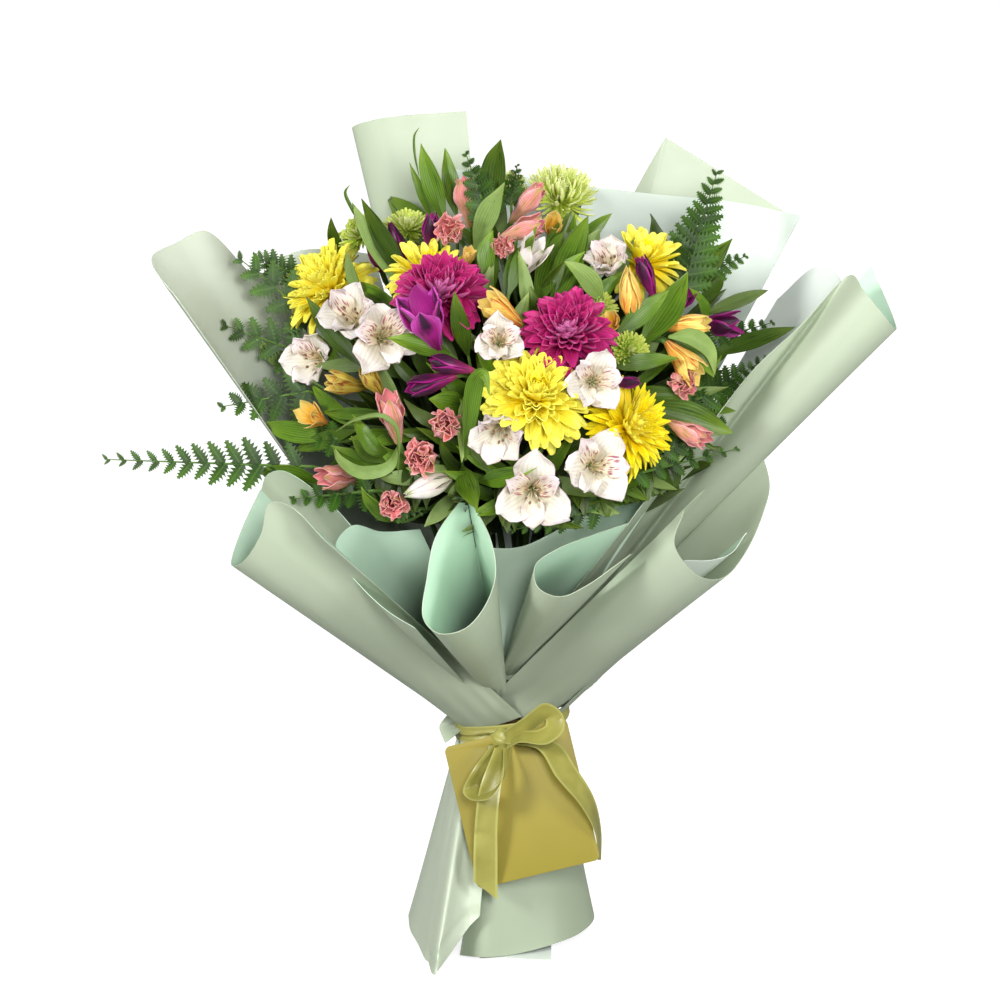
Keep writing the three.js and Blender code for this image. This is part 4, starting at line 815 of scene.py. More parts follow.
# sheets under the outer ones that close the gaps between the rolls
LINERS = [
    ("wrap_left_liner", "mint", MINT, SAGE,
     [(222, 29, 14), (200, 29, 13), (184, 29, 12), (172, 30, 10)],
     [(-108, 268, -70), (-121, 284, -68), (-140, 300, -60), (-158, 309, -52), (-168, 306, -48),
     (-172, 296, -52)]),
    ("wrap_left_rear_liner", "sage", SAGE_PAINTED_LIGHT_AND_SHADE, SAGE,
     [(160, 30, 16), (148, 30, 18), (138, 29, 20)],
     [(-188, 445, 60), (-170, 441, 70), (-148, 430, 76)]),
    ("wrap_tie_ruffle", "sage", SAGE, MINT,
     [(204, 35, 2), (190, 35, 2), (176, 35, 2)],
     [(-50, 128, -24), (-54, 138, -12), (-48, 147, 2)]),
    ("wrap_right_liner", "sage", SAGE, MINT,
     [(-50, 29.5, 20), (-34, 30.5, 18), (-14, 31, 16)],
     [(92, 268, -66), (116, 292, -60), (142, 312, -46), (160, 330, -30), (166, 352, -14)]),
    ("wrap_right_lobe", "mint", PALE_MINT, MINT,
     [(-40, 31.5, 8), (-30, 31.7, 8), (-22, 31.8, 9)],
     [(108, 250, -104), (124, 250, -92), (140, 256, -84), (150, 268, -78)]),
]


def wrap(sheet, points, folds, *nodes, line=catmull, tuck=0):
    """A sheet from its place round the waist to its rim."""
    name, paper, first, second, foot, rim = sheet
    place = between([tie(*p) for p in foot], [at(*p) for p in rim], line, tuck)
    piece = grid(name.replace("paper", "wrap"), *points, place, folds)
    return hand_in(finish_mesh(piece, PAPER_THICK * MM, first, second), "paper_" + paper, *nodes)


WRAPS = []
for index, sheet in enumerate(SHEETS):
    name, rim = sheet[0], sheet[-1]
    rolled = len(rim) > 7                          # rolls have fewer and softer folds
    folds = gather(3, index, depth=0.9, creases=1) if rolled else gather(5, index, creases=3)
    line = polyline if name == "paper_back_corner" else catmull
    WRAPS.append(wrap(sheet, (96, 40), folds, name, line=line, tuck=TUCK if name in TUCKED else 0))
for index, sheet in enumerate(LINERS):
    wrap(sheet, (40, 26), gather(4, 60 + index))


def skirt():
    top = [tie(a, 33.2, -4) for a in (250, 270, 290, 310, 335, 0, 25, 50, 80, 110, 140, 165, 190, 215)]
    pleats = gather(13, 40, depth=0.9, reach=0.3, creases=9)
    piece = grid("wrap_skirt", 110, 30, between(top, lifted(SKIRT_HEM)), pleats)
    finish_mesh(piece, PAPER_THICK * MM, MINT, SKIRT_SAGE_PAINTED_SHADE)
    hand_in(piece, "paper_sage", "paper_skirt")
    panel_top = [tie(a, 35.6, -3) for a in (176, 196, 216, 236, 256)]
    folds = gather(5, 41, depth=0.8, reach=0.25, creases=3)

    def turned_corner(u, v):
        """The ridge of the corner that is bent at the hem."""
        ridge = 1 - 0.1 * np.sin(np.pi * np.clip((u - 0.43) / 0.57, 0, 1))
        return folds(u, v) + 1.6 * MM * np.maximum(0, 1 - np.abs(v - ridge) / 0.06) * (u > 0.43)
    piece = grid("wrap_skirt_panel", 64, 48, between(panel_top, lifted(SKIRT_PANEL_HEM)), turned_corner)
    finish_mesh(piece, PAPER_THICK * MM, MINT, PANEL_SAGE_PAINTED_LIGHT)
    hand_in(piece, "paper_sage", "paper_skirt_panel")

    # the corner of an inner sheet that shows under the front of the hem
    near, far = ([Vector(p) * MM for p in row] for row in (
        [(-27, -64, 0.6), (21, -67, 0.6)], [(-18, -36, 2.2), (21, -31, 2.2)]))
    piece = grid("wrap_base_corner", 12, 6, between(near, far, polyline),
                 lambda u, v: 0.5 * MM * np.sin(5 * u) * (1 - v))
    finish_mesh(piece, PAPER_THICK * MM, PALE_MINT)
    hand_in(piece, "paper_mint")


skirt()


# ---- ribbon, tag and twine ----
def band():
    def place(u, v):
        a = 2 * np.pi * u
        crease = 0.8 * np.sin(3 * np.pi * v + 2.2 * np.sin(a * 2)) + 0.5 * np.sin(6 * np.pi * v + 3 * np.sin(a))
        radius = BAND_RADIUS + 0.6 + crease * np.sin(np.pi * v)
        x = TIE_X + radius * np.cos(a)
        height = (v - 0.5) * (RIBBON_WIDTH - 4.5) + 0.8 * np.sin(3 * a + 1)
        return np.stack([x, radius * np.sin(a), TIE_HEIGHT + TIE_SLOPE * x + height], axis=1) * MM
    ring = grid("ribbon_band", 120, 10, place)
    bpy.ops.object.mode_set(mode="EDIT")
    bpy.ops.mesh.select_all(action="SELECT")
    bpy.ops.mesh.remove_doubles(threshold=1e-5)
    bpy.ops.object.mode_set(mode="OBJECT")
    finish_mesh(ring, 0.5 * MM, SATIN)
    hand_in(ring, "ribbon_satin", "ribbon")


def ball(segments, rings, finish, shape):
    """A sphere of radius 1 whose points go through shape."""
    alone()
    bpy.ops.mesh.primitive_uv_sphere_add(segments=segments, ring_count=rings, radius=1)
    piece = bpy.context.object
    set_points(piece, shape(points_of(piece)))
    piece.data.materials.append(finish)
    smooth_faces(60)
    return piece


def knot():
    def shape(co):
        folds = 1 + 0.07 * np.sin(co[:, 2] * 9 + co[:, 0] * 3) + 0.04 * np.sin(co[:, 2] * 19)
        return co * folds[:, None] * np.array([8.2, 7.5, 9.2]) * MM + np.array(at(-12, 129, -43))
    piece = ball(36, 20, SATIN, shape)
    piece.name = "ribbon_knot"
    hand_in(piece, "ribbon_satin")


def strip(name, length, near, far):
    near, far = ([at(*p) for p in edge] for edge in (near, far))
    narrowed = [(0, 0.62), (0.2, 1), (0.8, 1), (1, 0.62 if name.endswith("loop") else 1)]

    def place(u, v):
        """As drawn, the strip is as wide as it looks from the front: its near edge comes forward to true width."""
        a, b = catmull(near, u), catmull(far, u)
        ahead = ((b - a) * LINE_OF_SIGHT).sum(1)
        seen = ((b - a) ** 2).sum(1) - ahead ** 2
        width = smooth(narrowed, u) * RIBBON_WIDTH * 0.97 * MM
        full = np.sqrt(np.maximum(width ** 2 - seen, ahead ** 2))
        a = a - LINE_OF_SIGHT * (full - np.abs(ahead))[:, None]
        return a + (b - a) * v[:, None]
    piece = grid(name, 56, 8, place, lambda u, v: 0.35 * MM * np.sin(9 * u + 5 * v) * np.sin(np.pi * v))
    finish_mesh(piece, SATIN_THICK * MM, SATIN)
    hand_in(piece, "ribbon_satin")


def tag():
    alone()
    bpy.ops.mesh.primitive_cube_add(size=1)
    card = bpy.context.object
    card.name = "gift_tag"
    set_points(card, points_of(card) * np.array([TAG_WIDTH, TAG_HEIGHT, TAG_THICK]) * MM
               + np.array([0, -TAG_HEIGHT / 2, 0]) * MM)
    bpy.ops.object.mode_set(mode="EDIT")
    bpy.ops.mesh.select_mode(type="EDGE")
    bpy.ops.mesh.select_all(action="DESELECT")
    bpy.ops.object.mode_set(mode="OBJECT")
    for edge in card.data.edges:
        a, b = (card.data.vertices[i].co for i in edge.vertices)
        edge.select = abs(a.z - b.z) > 0.5 * TAG_THICK * MM
    bpy.ops.object.mode_set(mode="EDIT")
    bpy.ops.mesh.bevel(offset=TAG_CORNER * MM, segments=8)
    bpy.ops.object.mode_set(mode="OBJECT")
    alone()
    bpy.ops.mesh.primitive_cylinder_add(vertices=32, radius=TAG_HOLE * MM, depth=10 * MM,
                                        location=(-11 * MM, -8 * MM, 0))
    punch = bpy.context.object
    hole = card.modifiers.new("hole", "BOOLEAN")
    hole.object = punch
    hole.operation = "DIFFERENCE"
    edge = card.modifiers.new("edge", "BEVEL")
    edge.width = 0.25 * MM
    edge.segments = 2
    edge.limit_method = "ANGLE"
    bpy.context.view_layer.objects.active = card
    bpy.ops.object.modifier_apply(modifier="hole")
    bpy.ops.object.modifier_apply(modifier="edge")
    discard(punch)
    pick_out(card)
    smooth_faces(35)
    left, right, low = at(-51, 125, -46), at(31, 145, -46), at(-29, 27, -74)
    across = (right - left).normalized()
    down = (low - left).normalized()
    up = (across * down.dot(across) - down).normalized()
    card.data.transform(basis(across, up, across.cross(up), left.lerp(right, 0.5)))
    card.data.materials.append(CARD)
    hand_in(card, "tag_card", "tag")


def twine():
    turns, steps = [], 48
    for k in range(3):
        points = [tie(360 * step / steps, TURN_RADIUS, (k - 1) * 2 * TWINE_RADIUS) for step in range(steps + 1)]
        turns.append(stalk(f"turn{k}", points, [TWINE_RADIUS * MM] * (steps + 1), TWINE, sides=2))
    hand_in(joined("twine_turns", turns), "twine", "twine")


band()
knot()
for row in RIBBON_STRIPS:
    strip(*row)
tag()
twine()


# ---- petals ----
def petal(name, across, along, half, profile, curl, cup, face, reverse, lift=0.0, ruffle=0.0, blunt=0.0):
    """A petal of length 1 that leaves the origin along +Y with its face up, bent by curl and hollowed by cup."""
    fine = np.linspace(0, 1, 80)
    angle = lift + curl * fine ** 1.5
    run = np.concatenate([[0], np.cumsum(np.cos(angle[1:]))]) / 79
    rise = np.concatenate([[0], np.cumsum(np.sin(angle[1:]))]) / 79

    def place(u, v):
        s = 2 * u - 1
        w = half * smooth(profile, v)
        turned = np.interp(v, fine, angle)
        hollow = cup * w * s * s + ruffle * np.abs(s) ** 1.5 * np.sin(16 * v + 2 * s)
        y = np.interp(v, fine, run) - blunt * s * s * v ** 5
        return np.stack([s * w, y - np.sin(turned) * hollow,
                         np.interp(v, fine, rise) + np.cos(turned) * hollow], axis=1)
    piece = grid(name, across, along, place)
    return finish_mesh(piece, PETAL_SHARE, face, reverse)


STRAP = [(0, 0.5), (0.3, 0.75), (0.7, 1), (0.9, 0.9), (1, 0.5)]
POINTED = [(0, 0.45), (0.35, 0.9), (0.65, 1), (0.86, 0.72), (1, 0.14)]
NARROW = [(0, 0.8), (0.5, 1), (0.85, 1.1), (1, 0.5)]
# form: points across and along, outline, bluntness;
# outer, middle and inner petal: half width, curl, cup, lift, face, reverse, ruffle
KINDS = dict(
    yellow=(3, 6, STRAP, 0.03, [(0.105, -0.35, 0.7, 0.15, YELLOW, YELLOW),
                                (0.115, 0.3, 0.9, 0, YELLOW, YELLOW, 0.015), (0.15, 1.0, 1.0, -0.1, GOLD, YELLOW)]),
    shaggy=(3, 5, POINTED, 0, [(0.085, -0.5, 0.9, 0.15, GOLD, YELLOW), (0.095, 0.3, 1.0, 0, GOLD, YELLOW),
                               (0.12, 0.8, 1.0, 0, GOLD, YELLOW)]),
    daisy=(3, 6, STRAP, 0.04, [(0.11, -0.3, 0.6, 0, YELLOW, GOLD), (0.11, 0.25, 0.6, 0, YELLOW, GOLD),
                               (0.12, 0.6, 0.7, 0, GOLD, YELLOW)]),
    magenta=(3, 6, POINTED, 0, [(0.15, -0.2, 0.8, 0.15, MAGENTA, MAUVE), (0.155, 0.6, 1.0, 0, MAGENTA, MAUVE),
                                (0.19, 1.2, 1.1, -0.2, MAGENTA, MAUVE)]),
    spider=(2, 6, NARROW, 0, [(0.036, 0.9, 0.9, -0.1, LIME, LIME), (0.038, 1.1, 0.9, -0.2, LIME, LIME),
                              (0.045, 1.2, 0.9, -0.3, LIME, LIME)]),
    button=(2, 4, STRAP, 0, [(0.085, 0.3, 0.7, 0, GREEN_BUTTON, LIME), (0.095, 0.6, 0.8, 0, GREEN_BUTTON, LIME),
                             (0.13, 0.9, 0.9, 0, GREEN_BUTTON, LIME)]),
)
STOCK = {form: [petal(form, across, along, half, outline, curl, cup, face, reverse, lift, *ruffle, blunt=blunt)
                for half, curl, cup, lift, face, reverse, *ruffle in petals]
         for form, (across, along, outline, blunt, petals) in KINDS.items()}
# layers: degrees from the axis, petals, reach, which petal
FULL = [(106, 17, 0.96, 0), (97, 20, 1.0, 0), (88, 20, 1.0, 0), (78, 20, 0.97, 0), (69, 19, 0.93, 1),
        (60, 18, 0.88, 1), (51, 17, 0.82, 1), (42, 15, 0.75, 1), (33, 13, 0.68, 1), (25, 11, 0.6, 2),
        (17, 9, 0.54, 2), (10, 7, 0.49, 2), (4, 4, 0.45, 2)]
OPEN = [(104, 13, 0.94, 0), (94, 17, 1.0, 0), (80, 18, 0.98, 0), (64, 17, 0.93, 1), (48, 15, 0.82, 1),
        (34, 12, 0.62, 2), (22, 10, 0.5, 2), (12, 7, 0.43, 2), (4, 4, 0.38, 2)]
HAIRY = [(118, 16, 0.85, 0), (104, 22, 0.98, 0), (90, 26, 1.02, 0), (76, 28, 1.02, 0), (62, 26, 0.98, 1),
         (49, 24, 0.94, 1), (37, 20, 0.88, 1), (26, 16, 0.8, 2), (16, 11, 0.72, 2), (7, 6, 0.62, 2)]
LAYERS = dict(yellow=FULL, shaggy=FULL, daisy=OPEN, magenta=FULL, spider=HAIRY, button=FULL)
WILD = dict(yellow=10, shaggy=13, daisy=9, magenta=10, spider=18, button=7)
SLOTS = dict(yellow="yellow", shaggy="yellow", daisy="yellow", magenta="magenta", spider="lime", button="lime")
# where the florets stand and the room they need, for petals to keep out of
CROWD = [(on_dome(*f[:3]), f[4] * CROWDING * MM) for _, florets in SPRAYS for f in florets]


def mum_head(form, place, seed):
    """The petals of one head, and the point where its neck ends."""
    across, up, lift, direction, radius = place
    r = random.Random(seed)
    centre, axis = on_dome(across, up, lift), aim(*direction)
    side = side_of(axis)
    other = axis.cross(side)
    core = centre - axis * radius * 0.1 * MM
    made = []
    for k, (degrees, count, reach, kind) in enumerate(LAYERS[form]):
        for j in range(count):
            turn = 2 * math.pi * (j + 0.5 * (k % 2) + r.uniform(-0.22, 0.22)) / count
            lean = math.radians(degrees + r.uniform(-1, 1) * WILD[form])
            out = side * math.cos(turn) + other * math.sin(turn)
            along = axis * math.cos(lean) + out * math.sin(lean)
            face = axis * math.sin(lean) - out * math.cos(lean)
            roll = Quaternion(along, math.radians(r.uniform(-1, 1) * 1.6 * WILD[form]))
            face = roll @ face
            length = radius * reach * r.uniform(0.88, 1.05) * 0.95 * MM
            tip = core + along * length
            middle = core.lerp(tip, 0.7)
            if any(min((tip - spot).length, (middle - spot).length) < room for spot, room in CROWD):
                length *= 0.6
            width = length * r.uniform(0.88, 1.12) * (0.8 + 0.25 / reach)
            frame_here = basis(along.cross(face) * width, along * length, face * length,
                               core + along * radius * 0.07 * MM)
            made.append(placed(STOCK[form][kind], frame_here, r.uniform(0.2, 0.9) - 0.012 * (k < 2)))
    return centre - axis * radius * 0.25 * MM, made


stem_tops = []
for seed, (name, form, heads) in enumerate(MUMS):
    made, feet = [], []
    for k, place in enumerate(heads):
        foot, petals = mum_head(form, place, 100 * seed + k)
        feet.append(foot)
        made += petals
    meet = sum(feet, Vector()) / len(feet)
    hub = inward(meet, 26 if len(feet) > 1 else 6)
    stem_tops.append(hub)
    for foot in feet:
        made.append(stalk("neck", [hub, foot], widths(1.5, 1.7), STEM_GREEN))
    hand_in(joined(name + "_petals", made), "petal_" + SLOTS[form], name)


# ---- florets ----
# form: outer width, inner width, ruffle, waves; outer face and reverse, inner face and reverse; stamens
FORMS = dict(
    white=(0.62, 0.4, 0.075, 2.3, WHITE, WHITE_BACK, FLECKED, WHITE, True),
    white_bud=(0.36, 0.28, 0.0, 2.0, WHITE, WHITE_BACK, WHITE, WHITE_BACK, False),
    pink=(0.42, 0.34, 0.03, 2.6, PINK, PINK_BACK, PINK, PINK_BACK, False),
    frilly=(0.62, 0.56, 0.085, 1.5, CORAL, PINK_BACK, CORAL, PINK_BACK, False),
    amber=(0.42, 0.34, 0.015, 2.0, AMBER, AMBER_BACK, AMBER, AMBER_BACK, False),
    bronze=(0.42, 0.34, 0.015, 2.0, BRONZE, BRONZE, AMBER, BRONZE, False),
    purple=(0.42, 0.34, 0.015, 2.0, PURPLE, PLUM, PURPLE, PLUM, False),
    violet=(0.46, 0.36, 0.02, 2.0, VIOLET, VIOLET, PURPLE, VIOLET, False),
)
BROAD = [(0, 0.26), (0.2, 0.4), (0.42, 0.8), (0.6, 1), (0.76, 0.9), (0.87, 0.58), (0.94, 0.26), (1, 0.05)]
SLIM = [(0, 0.28), (0.3, 0.42), (0.62, 0.96), (0.8, 0.9), (0.93, 0.5), (1, 0.1)]
FRILL = [(0, 0.3), (0.3, 0.6), (0.7, 0.95), (0.92, 1), (1, 0.8)]


def tepal(how_open, width, profile, ruffle, waves, face, reverse, inner, frilled, r):
    """One tepal of a floret whose axis is +Z and whose foot is at the origin; it leans towards +X."""
    step = -0.03 if inner else 0.03
    if how_open < 0.12:
        route = [(0.05, 0, 0), (0.17 + step / 2, 0.3, 0), (0.17 + step / 2, 0.62, 0), (0.03, 1 + step, 0)]
    else:
        how_open += r.uniform(-0.12, 0.1) * min(how_open * 2, 1)
        reach = (0.76 if not inner else 0.66) * how_open
        route = [(0.05, 0, 0), (0.09 + 0.08 * how_open + step / 2, 0.28, 0),
                 (0.1 + 0.3 * how_open + step, 0.62 - 0.14 * how_open, 0),
                 (reach, 1 - r.uniform(0.36, 0.52) * how_open, 0)]
    fine = np.linspace(0, 1, 120)
    line = catmull(route, fine)[:, :2]
    slope = np.gradient(line, axis=0)
    slope /= np.linalg.norm(slope, axis=1)[:, None]
    phase, lean, fold = r.uniform(0, 6), r.uniform(-0.12, 0.12), r.uniform(0.0, 0.05) * how_open

    def place(u, v):
        s = 2 * u - 1
        radial, height = (np.interp(v, fine, line[:, k]) for k in (0, 1))
        tr, th = (np.interp(v, fine, slope[:, k]) for k in (0, 1))
        w = width / 2 * smooth(profile, v)
        rho = np.maximum(radial * 1.05, 0.05) + 0.9 * how_open ** 2
        phi = np.clip(s * w / rho, -1.5, 1.5)
        rim = np.abs(s) ** 1.6 * np.clip(2.2 * v - 0.3, 0, 1)
        wave = ruffle * rim * np.sin(2 * np.pi * waves * v + 2.4 * s + phase)
        if frilled:
            wave += ruffle * v ** 4 * (np.sin(2 * np.pi * 1.6 * u + phase) + 0.5 * np.sin(2 * np.pi * 2.9 * u))
        lift = rho * (1 - np.cos(phi)) + wave + fold * np.abs(s) - 0.014 * np.exp(-(s / 0.16) ** 2)
        ragged = ruffle * v ** 6 * 0.6 * np.sin(11 * u + phase) if frilled else 0 * v
        sway = lean * v * v * w
        return np.stack([radial - th * lift + tr * ragged, -rho * np.sin(phi) + sway,
                         height + tr * lift + th * ragged], axis=1)
    piece = grid("tepal", 14 if frilled else 7, 12, place)
    return finish_mesh(piece, TEPAL_SHARE, face, reverse)


def make_stamen():
    """A bent filament of length 1 with its anther, leaving the origin along +Z and leaning towards +X."""
    points = [Vector((0.04 + 0.2 * t ** 2, 0, t)) for t in np.linspace(0, 1, 6)]
    thread = stalk("thread", points, [0.022, 0.02, 0.018, 0.016, 0.014, 0.012], FILAMENT, sides=0)
    pod = ball(8, 6, ANTHER, lambda co: co * np.array([0.055, 0.04, 0.1]) + np.array([0.25, 0, 1.02]))
    tint(pod, 0.5)
    return joined("stamen", [thread, pod])


STAMEN = make_stamen()
# form: factor on its length, lift, factor on how open it is
TRIM = dict(white=(0.97, 5, 0.86), violet=(1.12, 0, 1), frilly=(1, 0, 0.6))


def floret(place, seed):
    """One floret: the foot and axis it stands on, and its pieces."""
    across, up, lift, direction, size, how_open, turn, form = place
    r = random.Random(seed)
    wide, slim, ruffle, waves, outer_face, outer_back, inner_face, inner_back, stamens = FORMS[form]
    axis = aim(*direction)
    longer, raised, closing = TRIM.get(form, (1, 0, 1))
    length = size * FLORET_SCALE * longer * MM
    base = on_dome(across, up, lift + raised) - axis * length * 0.5
    side = side_of(axis)
    stand = basis(side, axis.cross(side), axis, base) @ Matrix.Scale(length, 4)
    fill = min(0.72 + 0.4 * how_open, 1)
    how_open *= closing
    frilled = form == "frilly"
    angles = [turn + math.pi / 3 * k for k in range(6)]
    heights = [(side * math.cos(a) + axis.cross(side) * math.sin(a)).z for a in angles]
    made = []
    for k, angle in enumerate(angles):
        inner = k % 2 == 1
        profile = FRILL if frilled else SLIM if inner else BROAD
        face, back = (inner_face, inner_back) if inner else (outer_face, outer_back)
        if form == "white" and inner and heights[k] == min(heights[1::2]):
            face = WHITE                            # the lowest one is plain
        piece = tepal(how_open, (slim if inner else wide) * fill, profile, ruffle, waves, face, back, inner,
                      frilled, r)
        shift = Matrix.Scale(r.uniform(0.92, 1.05), 4)
        piece.data.transform(stand @ Matrix.Rotation(angle + r.uniform(-0.08, 0.08), 4, "Z") @ shift)
        tint(piece, r.uniform(0.2, 0.9))
        made.append(piece)
    if frilled:             # crumpled tepals that fill the cup
        for k in range(4):
            piece = tepal(how_open * 0.55, 0.5, FRILL, ruffle * 1.3, waves, inner_face, inner_back, True, True, r)
            spin = Matrix.Rotation(turn + 0.5 + math.pi / 2 * k, 4, "Z")
            piece.data.transform(stand @ spin @ Matrix.Scale(r.uniform(0.78, 0.9), 4))
            tint(piece, r.uniform(0.4, 0.95))
            made.append(piece)
    if stamens and how_open > 0.5:
        for k in range(6):
            spin = Matrix.Rotation(turn + math.pi / 3 * k + r.uniform(-0.3, 0.3), 4, "Z")
            tall = Matrix.Scale((0.5 if form == "white" else 0.42) * r.uniform(0.85, 1.1), 4)
            made.append(placed(STAMEN, stand @ spin @ tall, 0.5))
    return base, axis, made


def spray(name, florets, seed):
    grown = [floret(place, 1000 + 10 * seed + k) for k, place in enumerate(florets)]
    meet = sum((g[0] for g in grown), Vector()) / len(grown)
    hub = inward(meet, SPRAY_DEPTH)
    stem_tops.append(hub)
    made = []
    for base, axis, tepals in grown:
        made += tepals
        pull = -axis * min(20 * MM, (base - hub).length * 0.4) + (base - hub)
        route = bend_line(hub, base + axis * 1.5 * MM, pull)
        made.append(stalk("pedicel", route, widths(1.1, 1.0, 1.0, 1.05, 1.2, 1.9, 2.0), STEM_GREEN))
    hand_in(joined(name + "_florets", made), "petal_" + name.split("_")[0], name)


for seed, (name, florets) in enumerate(SPRAYS):
    spray(name, florets, seed)


# ---- leaves and ferns ----
LANCE = [(0, 0.12), (0.1, 0.4), (0.26, 0.84), (0.42, 1), (0.62, 0.82), (0.8, 0.48), (0.92, 0.2), (1, 0.02)]
DOME_MIDDLE = Vector((DOME["x"], DOME["y"], DOME["z"])) * MM


def directions(spine, face):
    """The directions across a line and up from it, at each of its points."""
    run = np.gradient(spine, axis=0)
    run /= np.linalg.norm(run, axis=1)[:, None]
    across = np.cross(run, np.array(face))
    across /= np.linalg.norm(across, axis=1)[:, None]
    return across, np.cross(across, run)


def blade(along, spine, across, up, width, hand, fold, waves=lambda s, v: 0):
    """A lance-shaped blade on its spine, folded along the midrib; hand -1 turns its back to the front."""
    fine = np.linspace(0, 1, len(spine))

    def place(u, v):
        s = (2 * u - 1) * hand
        w = width / 2 * MM * smooth(LANCE, v)
        ahead, side, rise = (np.stack([np.interp(v, fine, line[:, k]) for k in range(3)], axis=1)
                             for line in (spine, across, up))
        return ahead + side * (s * w)[:, None] + rise * (fold * w * np.abs(s) + waves(s, v))[:, None]
    return finish_mesh(grid("blade", 6, along, place), LEAF_THICK * MM, LEAF_FACE, LEAF_BACK)


def leaf(tip, base, width, bow, seed, hub=None, along=16, shade=(0.15, 0.95)):
    """A leaf twisted a little and curled at the tip, with a petiole where it has a hub."""
    r = random.Random(seed)
    span = tip - base
    out = (tip - DOME_MIDDLE).normalized()
    face = (Vector((0, -COS, SIN)) + out * 0.6).normalized()
    twist = math.radians(r.uniform(-1, 1) * 55)
    fold = r.uniform(0.15, 0.6)
    ripple = r.uniform(0.3, 1.1)
    phase = r.uniform(0, 6)
    hand = -1 if r.random() < 0.3 else 1
    fine = np.linspace(0, 1, 60)
    curl = r.uniform(-1, 1) * 0.1 * span.length
    spine = np.array([tuple(base + span * t + out * bow * MM * math.sin(math.pi * t) + face * curl * t ** 3)
                      for t in fine])
    across, up = directions(spine, face)
    angle = (twist * (fine - 0.25))[:, None]
    across, up = across * np.cos(angle) + up * np.sin(angle), up * np.cos(angle) - across * np.sin(angle)
    made = blade(along, spine, across, up, width, hand, fold, lambda s, v:
                 ripple * MM * np.abs(s) ** 2 * np.sin(11 * v + phase + 2 * s) * np.sin(np.pi * v))
    tint(made, r.uniform(*shade))
    if hub is None:
        return [made]
    foot = base + span * 0.02
    route = bend_line(hub, foot, (foot - hub) - span.normalized() * min(14 * MM, (foot - hub).length * 0.4))
    return [made, stalk("petiole", route, widths(1.5, 1.4, 1.3, 1.2, 1.1, 1.0, 0.9), STEM_GREEN, sides=0)]


def wrap_tree():
    """The wrapping as one surface, to press leaves against."""
    spots, faces = [], []
    for sheet in WRAPS:
        if sheet.name == "wrap_right_roll":          # leaves cross its free edge in front
            continue
        start = len(spots)
        spots += [v.co.copy() for v in sheet.data.vertices]
        faces += [[start + i for i in face.vertices] for face in sheet.data.polygons]
    return BVHTree.FromPolygons(spots, faces)


WRAP_TREE = wrap_tree()


def keep_inside(piece):
    """Presses what would pass through a sheet flat against its inner side."""
    co = points_of(piece)
    for k, spot in enumerate(co):
        reach = Vector(spot) - HEART
        hit = WRAP_TREE.ray_cast(HEART, reach.normalized(), reach.length + 1.5 * MM)
        if hit[0] is not None:
            co[k] = HEART + reach.normalized() * (hit[3] - 2 * MM)
    set_points(piece, co)
    return piece


for group, (name, (hub_across, hub_up), blades) in enumerate(LEAVES):
    back = name == "leaves_back"
    hub = inward(on_dome(hub_across, hub_up, -60 if back else -34), LEAF_DEPTH)
    made = []
    for k, (tx, tu, lift, bx, bu, width, bow) in enumerate(blades):
        tip = on_dome(tx, tu, lift + (6 if lift > 9 else 0))
        base = on_dome(bx, bu, -70 if back else -22 + min(lift, 14))
        made += leaf(tip, base, width * LEAF_SCALE * BLADE_SHARE, bow, 50 * group + k, hub)
    hand_in(keep_inside(joined(name + "_blades", made)), "leaf_green", name)


def pinna_stock():
    """A toothed leaflet of length 1, from the origin along +Y."""
    body = [(0, 0.45), (0.15, 0.95), (0.35, 1), (0.7, 0.68), (0.9, 0.32), (1, 0.04)]

    def place(u, v):
        s = 2 * u - 1
        tooth = np.array([0.55, 1.2, 0.95])[np.round(v * 21).astype(int) % 3]
        w = 0.23 * smooth(body, v) * tooth
        forward = 0.07 * (tooth > 1) * np.abs(s)
        return np.stack([s * w, v + forward - 0.03 * np.abs(s), 0.3 * w * s * s - 0.12 * v * v], axis=1)
    piece = grid("pinna", 2, 21, place)
    return finish_mesh(piece, PINNA_SHARE, FERN)


PINNA = pinna_stock()


def frond(row, seed, depth):
    """A fern frond with its rib, on a foot that comes from depth inside the bunch."""
    bx, bu, bl, tx, tu, tl, reach, pairs, sag = row
    base, tip = on_dome(bx, bu, bl), on_dome(tx, tu, tl)
    r = random.Random(seed)
    face = Vector((0, -COS, SIN))
    shares = np.linspace(0, 1, 25)
    spine = [base.lerp(tip, t) + face * sag * MM * math.sin(math.pi * t) for t in shares]
    made = [stalk("rib", spine, widths(*(1.1 - 0.8 * t for t in shares)), STEM_GREEN, sides=0, shade=0.2),
            stalk("foot", [inward(base, depth), base], widths(1.3, 1.1), STEM_GREEN, sides=0, shade=0.2)]
    few = pairs < 5                                  # small fronds have broad leaflets
    count = int(pairs) + 3 if few else int(pairs * 1.9) + 1
    for i in range(count):
        t = 0.06 + 0.92 * (i / (count - 1)) ** 0.92
        k = min(int(t * 24), 23)
        root = spine[k].lerp(spine[k + 1], t * 24 - k)
        run = (spine[k + 1] - spine[k]).normalized()
        side = run.cross(face).normalized()
        length = reach * (0.9 if i < 2 else 1.04) * (1 - 0.8 * t ** 1.25) * MM
        for hand in (-1, 1):
            out = (side * hand * 0.86 + run * (0.42 + 0.5 * t) + face * r.uniform(-0.12, 0.12)).normalized()
            up = (face + side * hand * r.uniform(-0.25, 0.1)).normalized()
            across = out.cross(up).normalized()
            up = across.cross(out)
            size = length * r.uniform(0.9, 1.08)
            made.append(placed(PINNA, basis(across * size * (1.45 if few else 1.1), out * size, up * size,
                                            root + run * hand * 0.9 * MM), r.uniform(0.15, 0.95)))
    return made


for k, (name, row) in enumerate(FERNS):
    hand_in(joined(name + "_frond", frond(row, 300 + k, 22)), "fern_green", name)


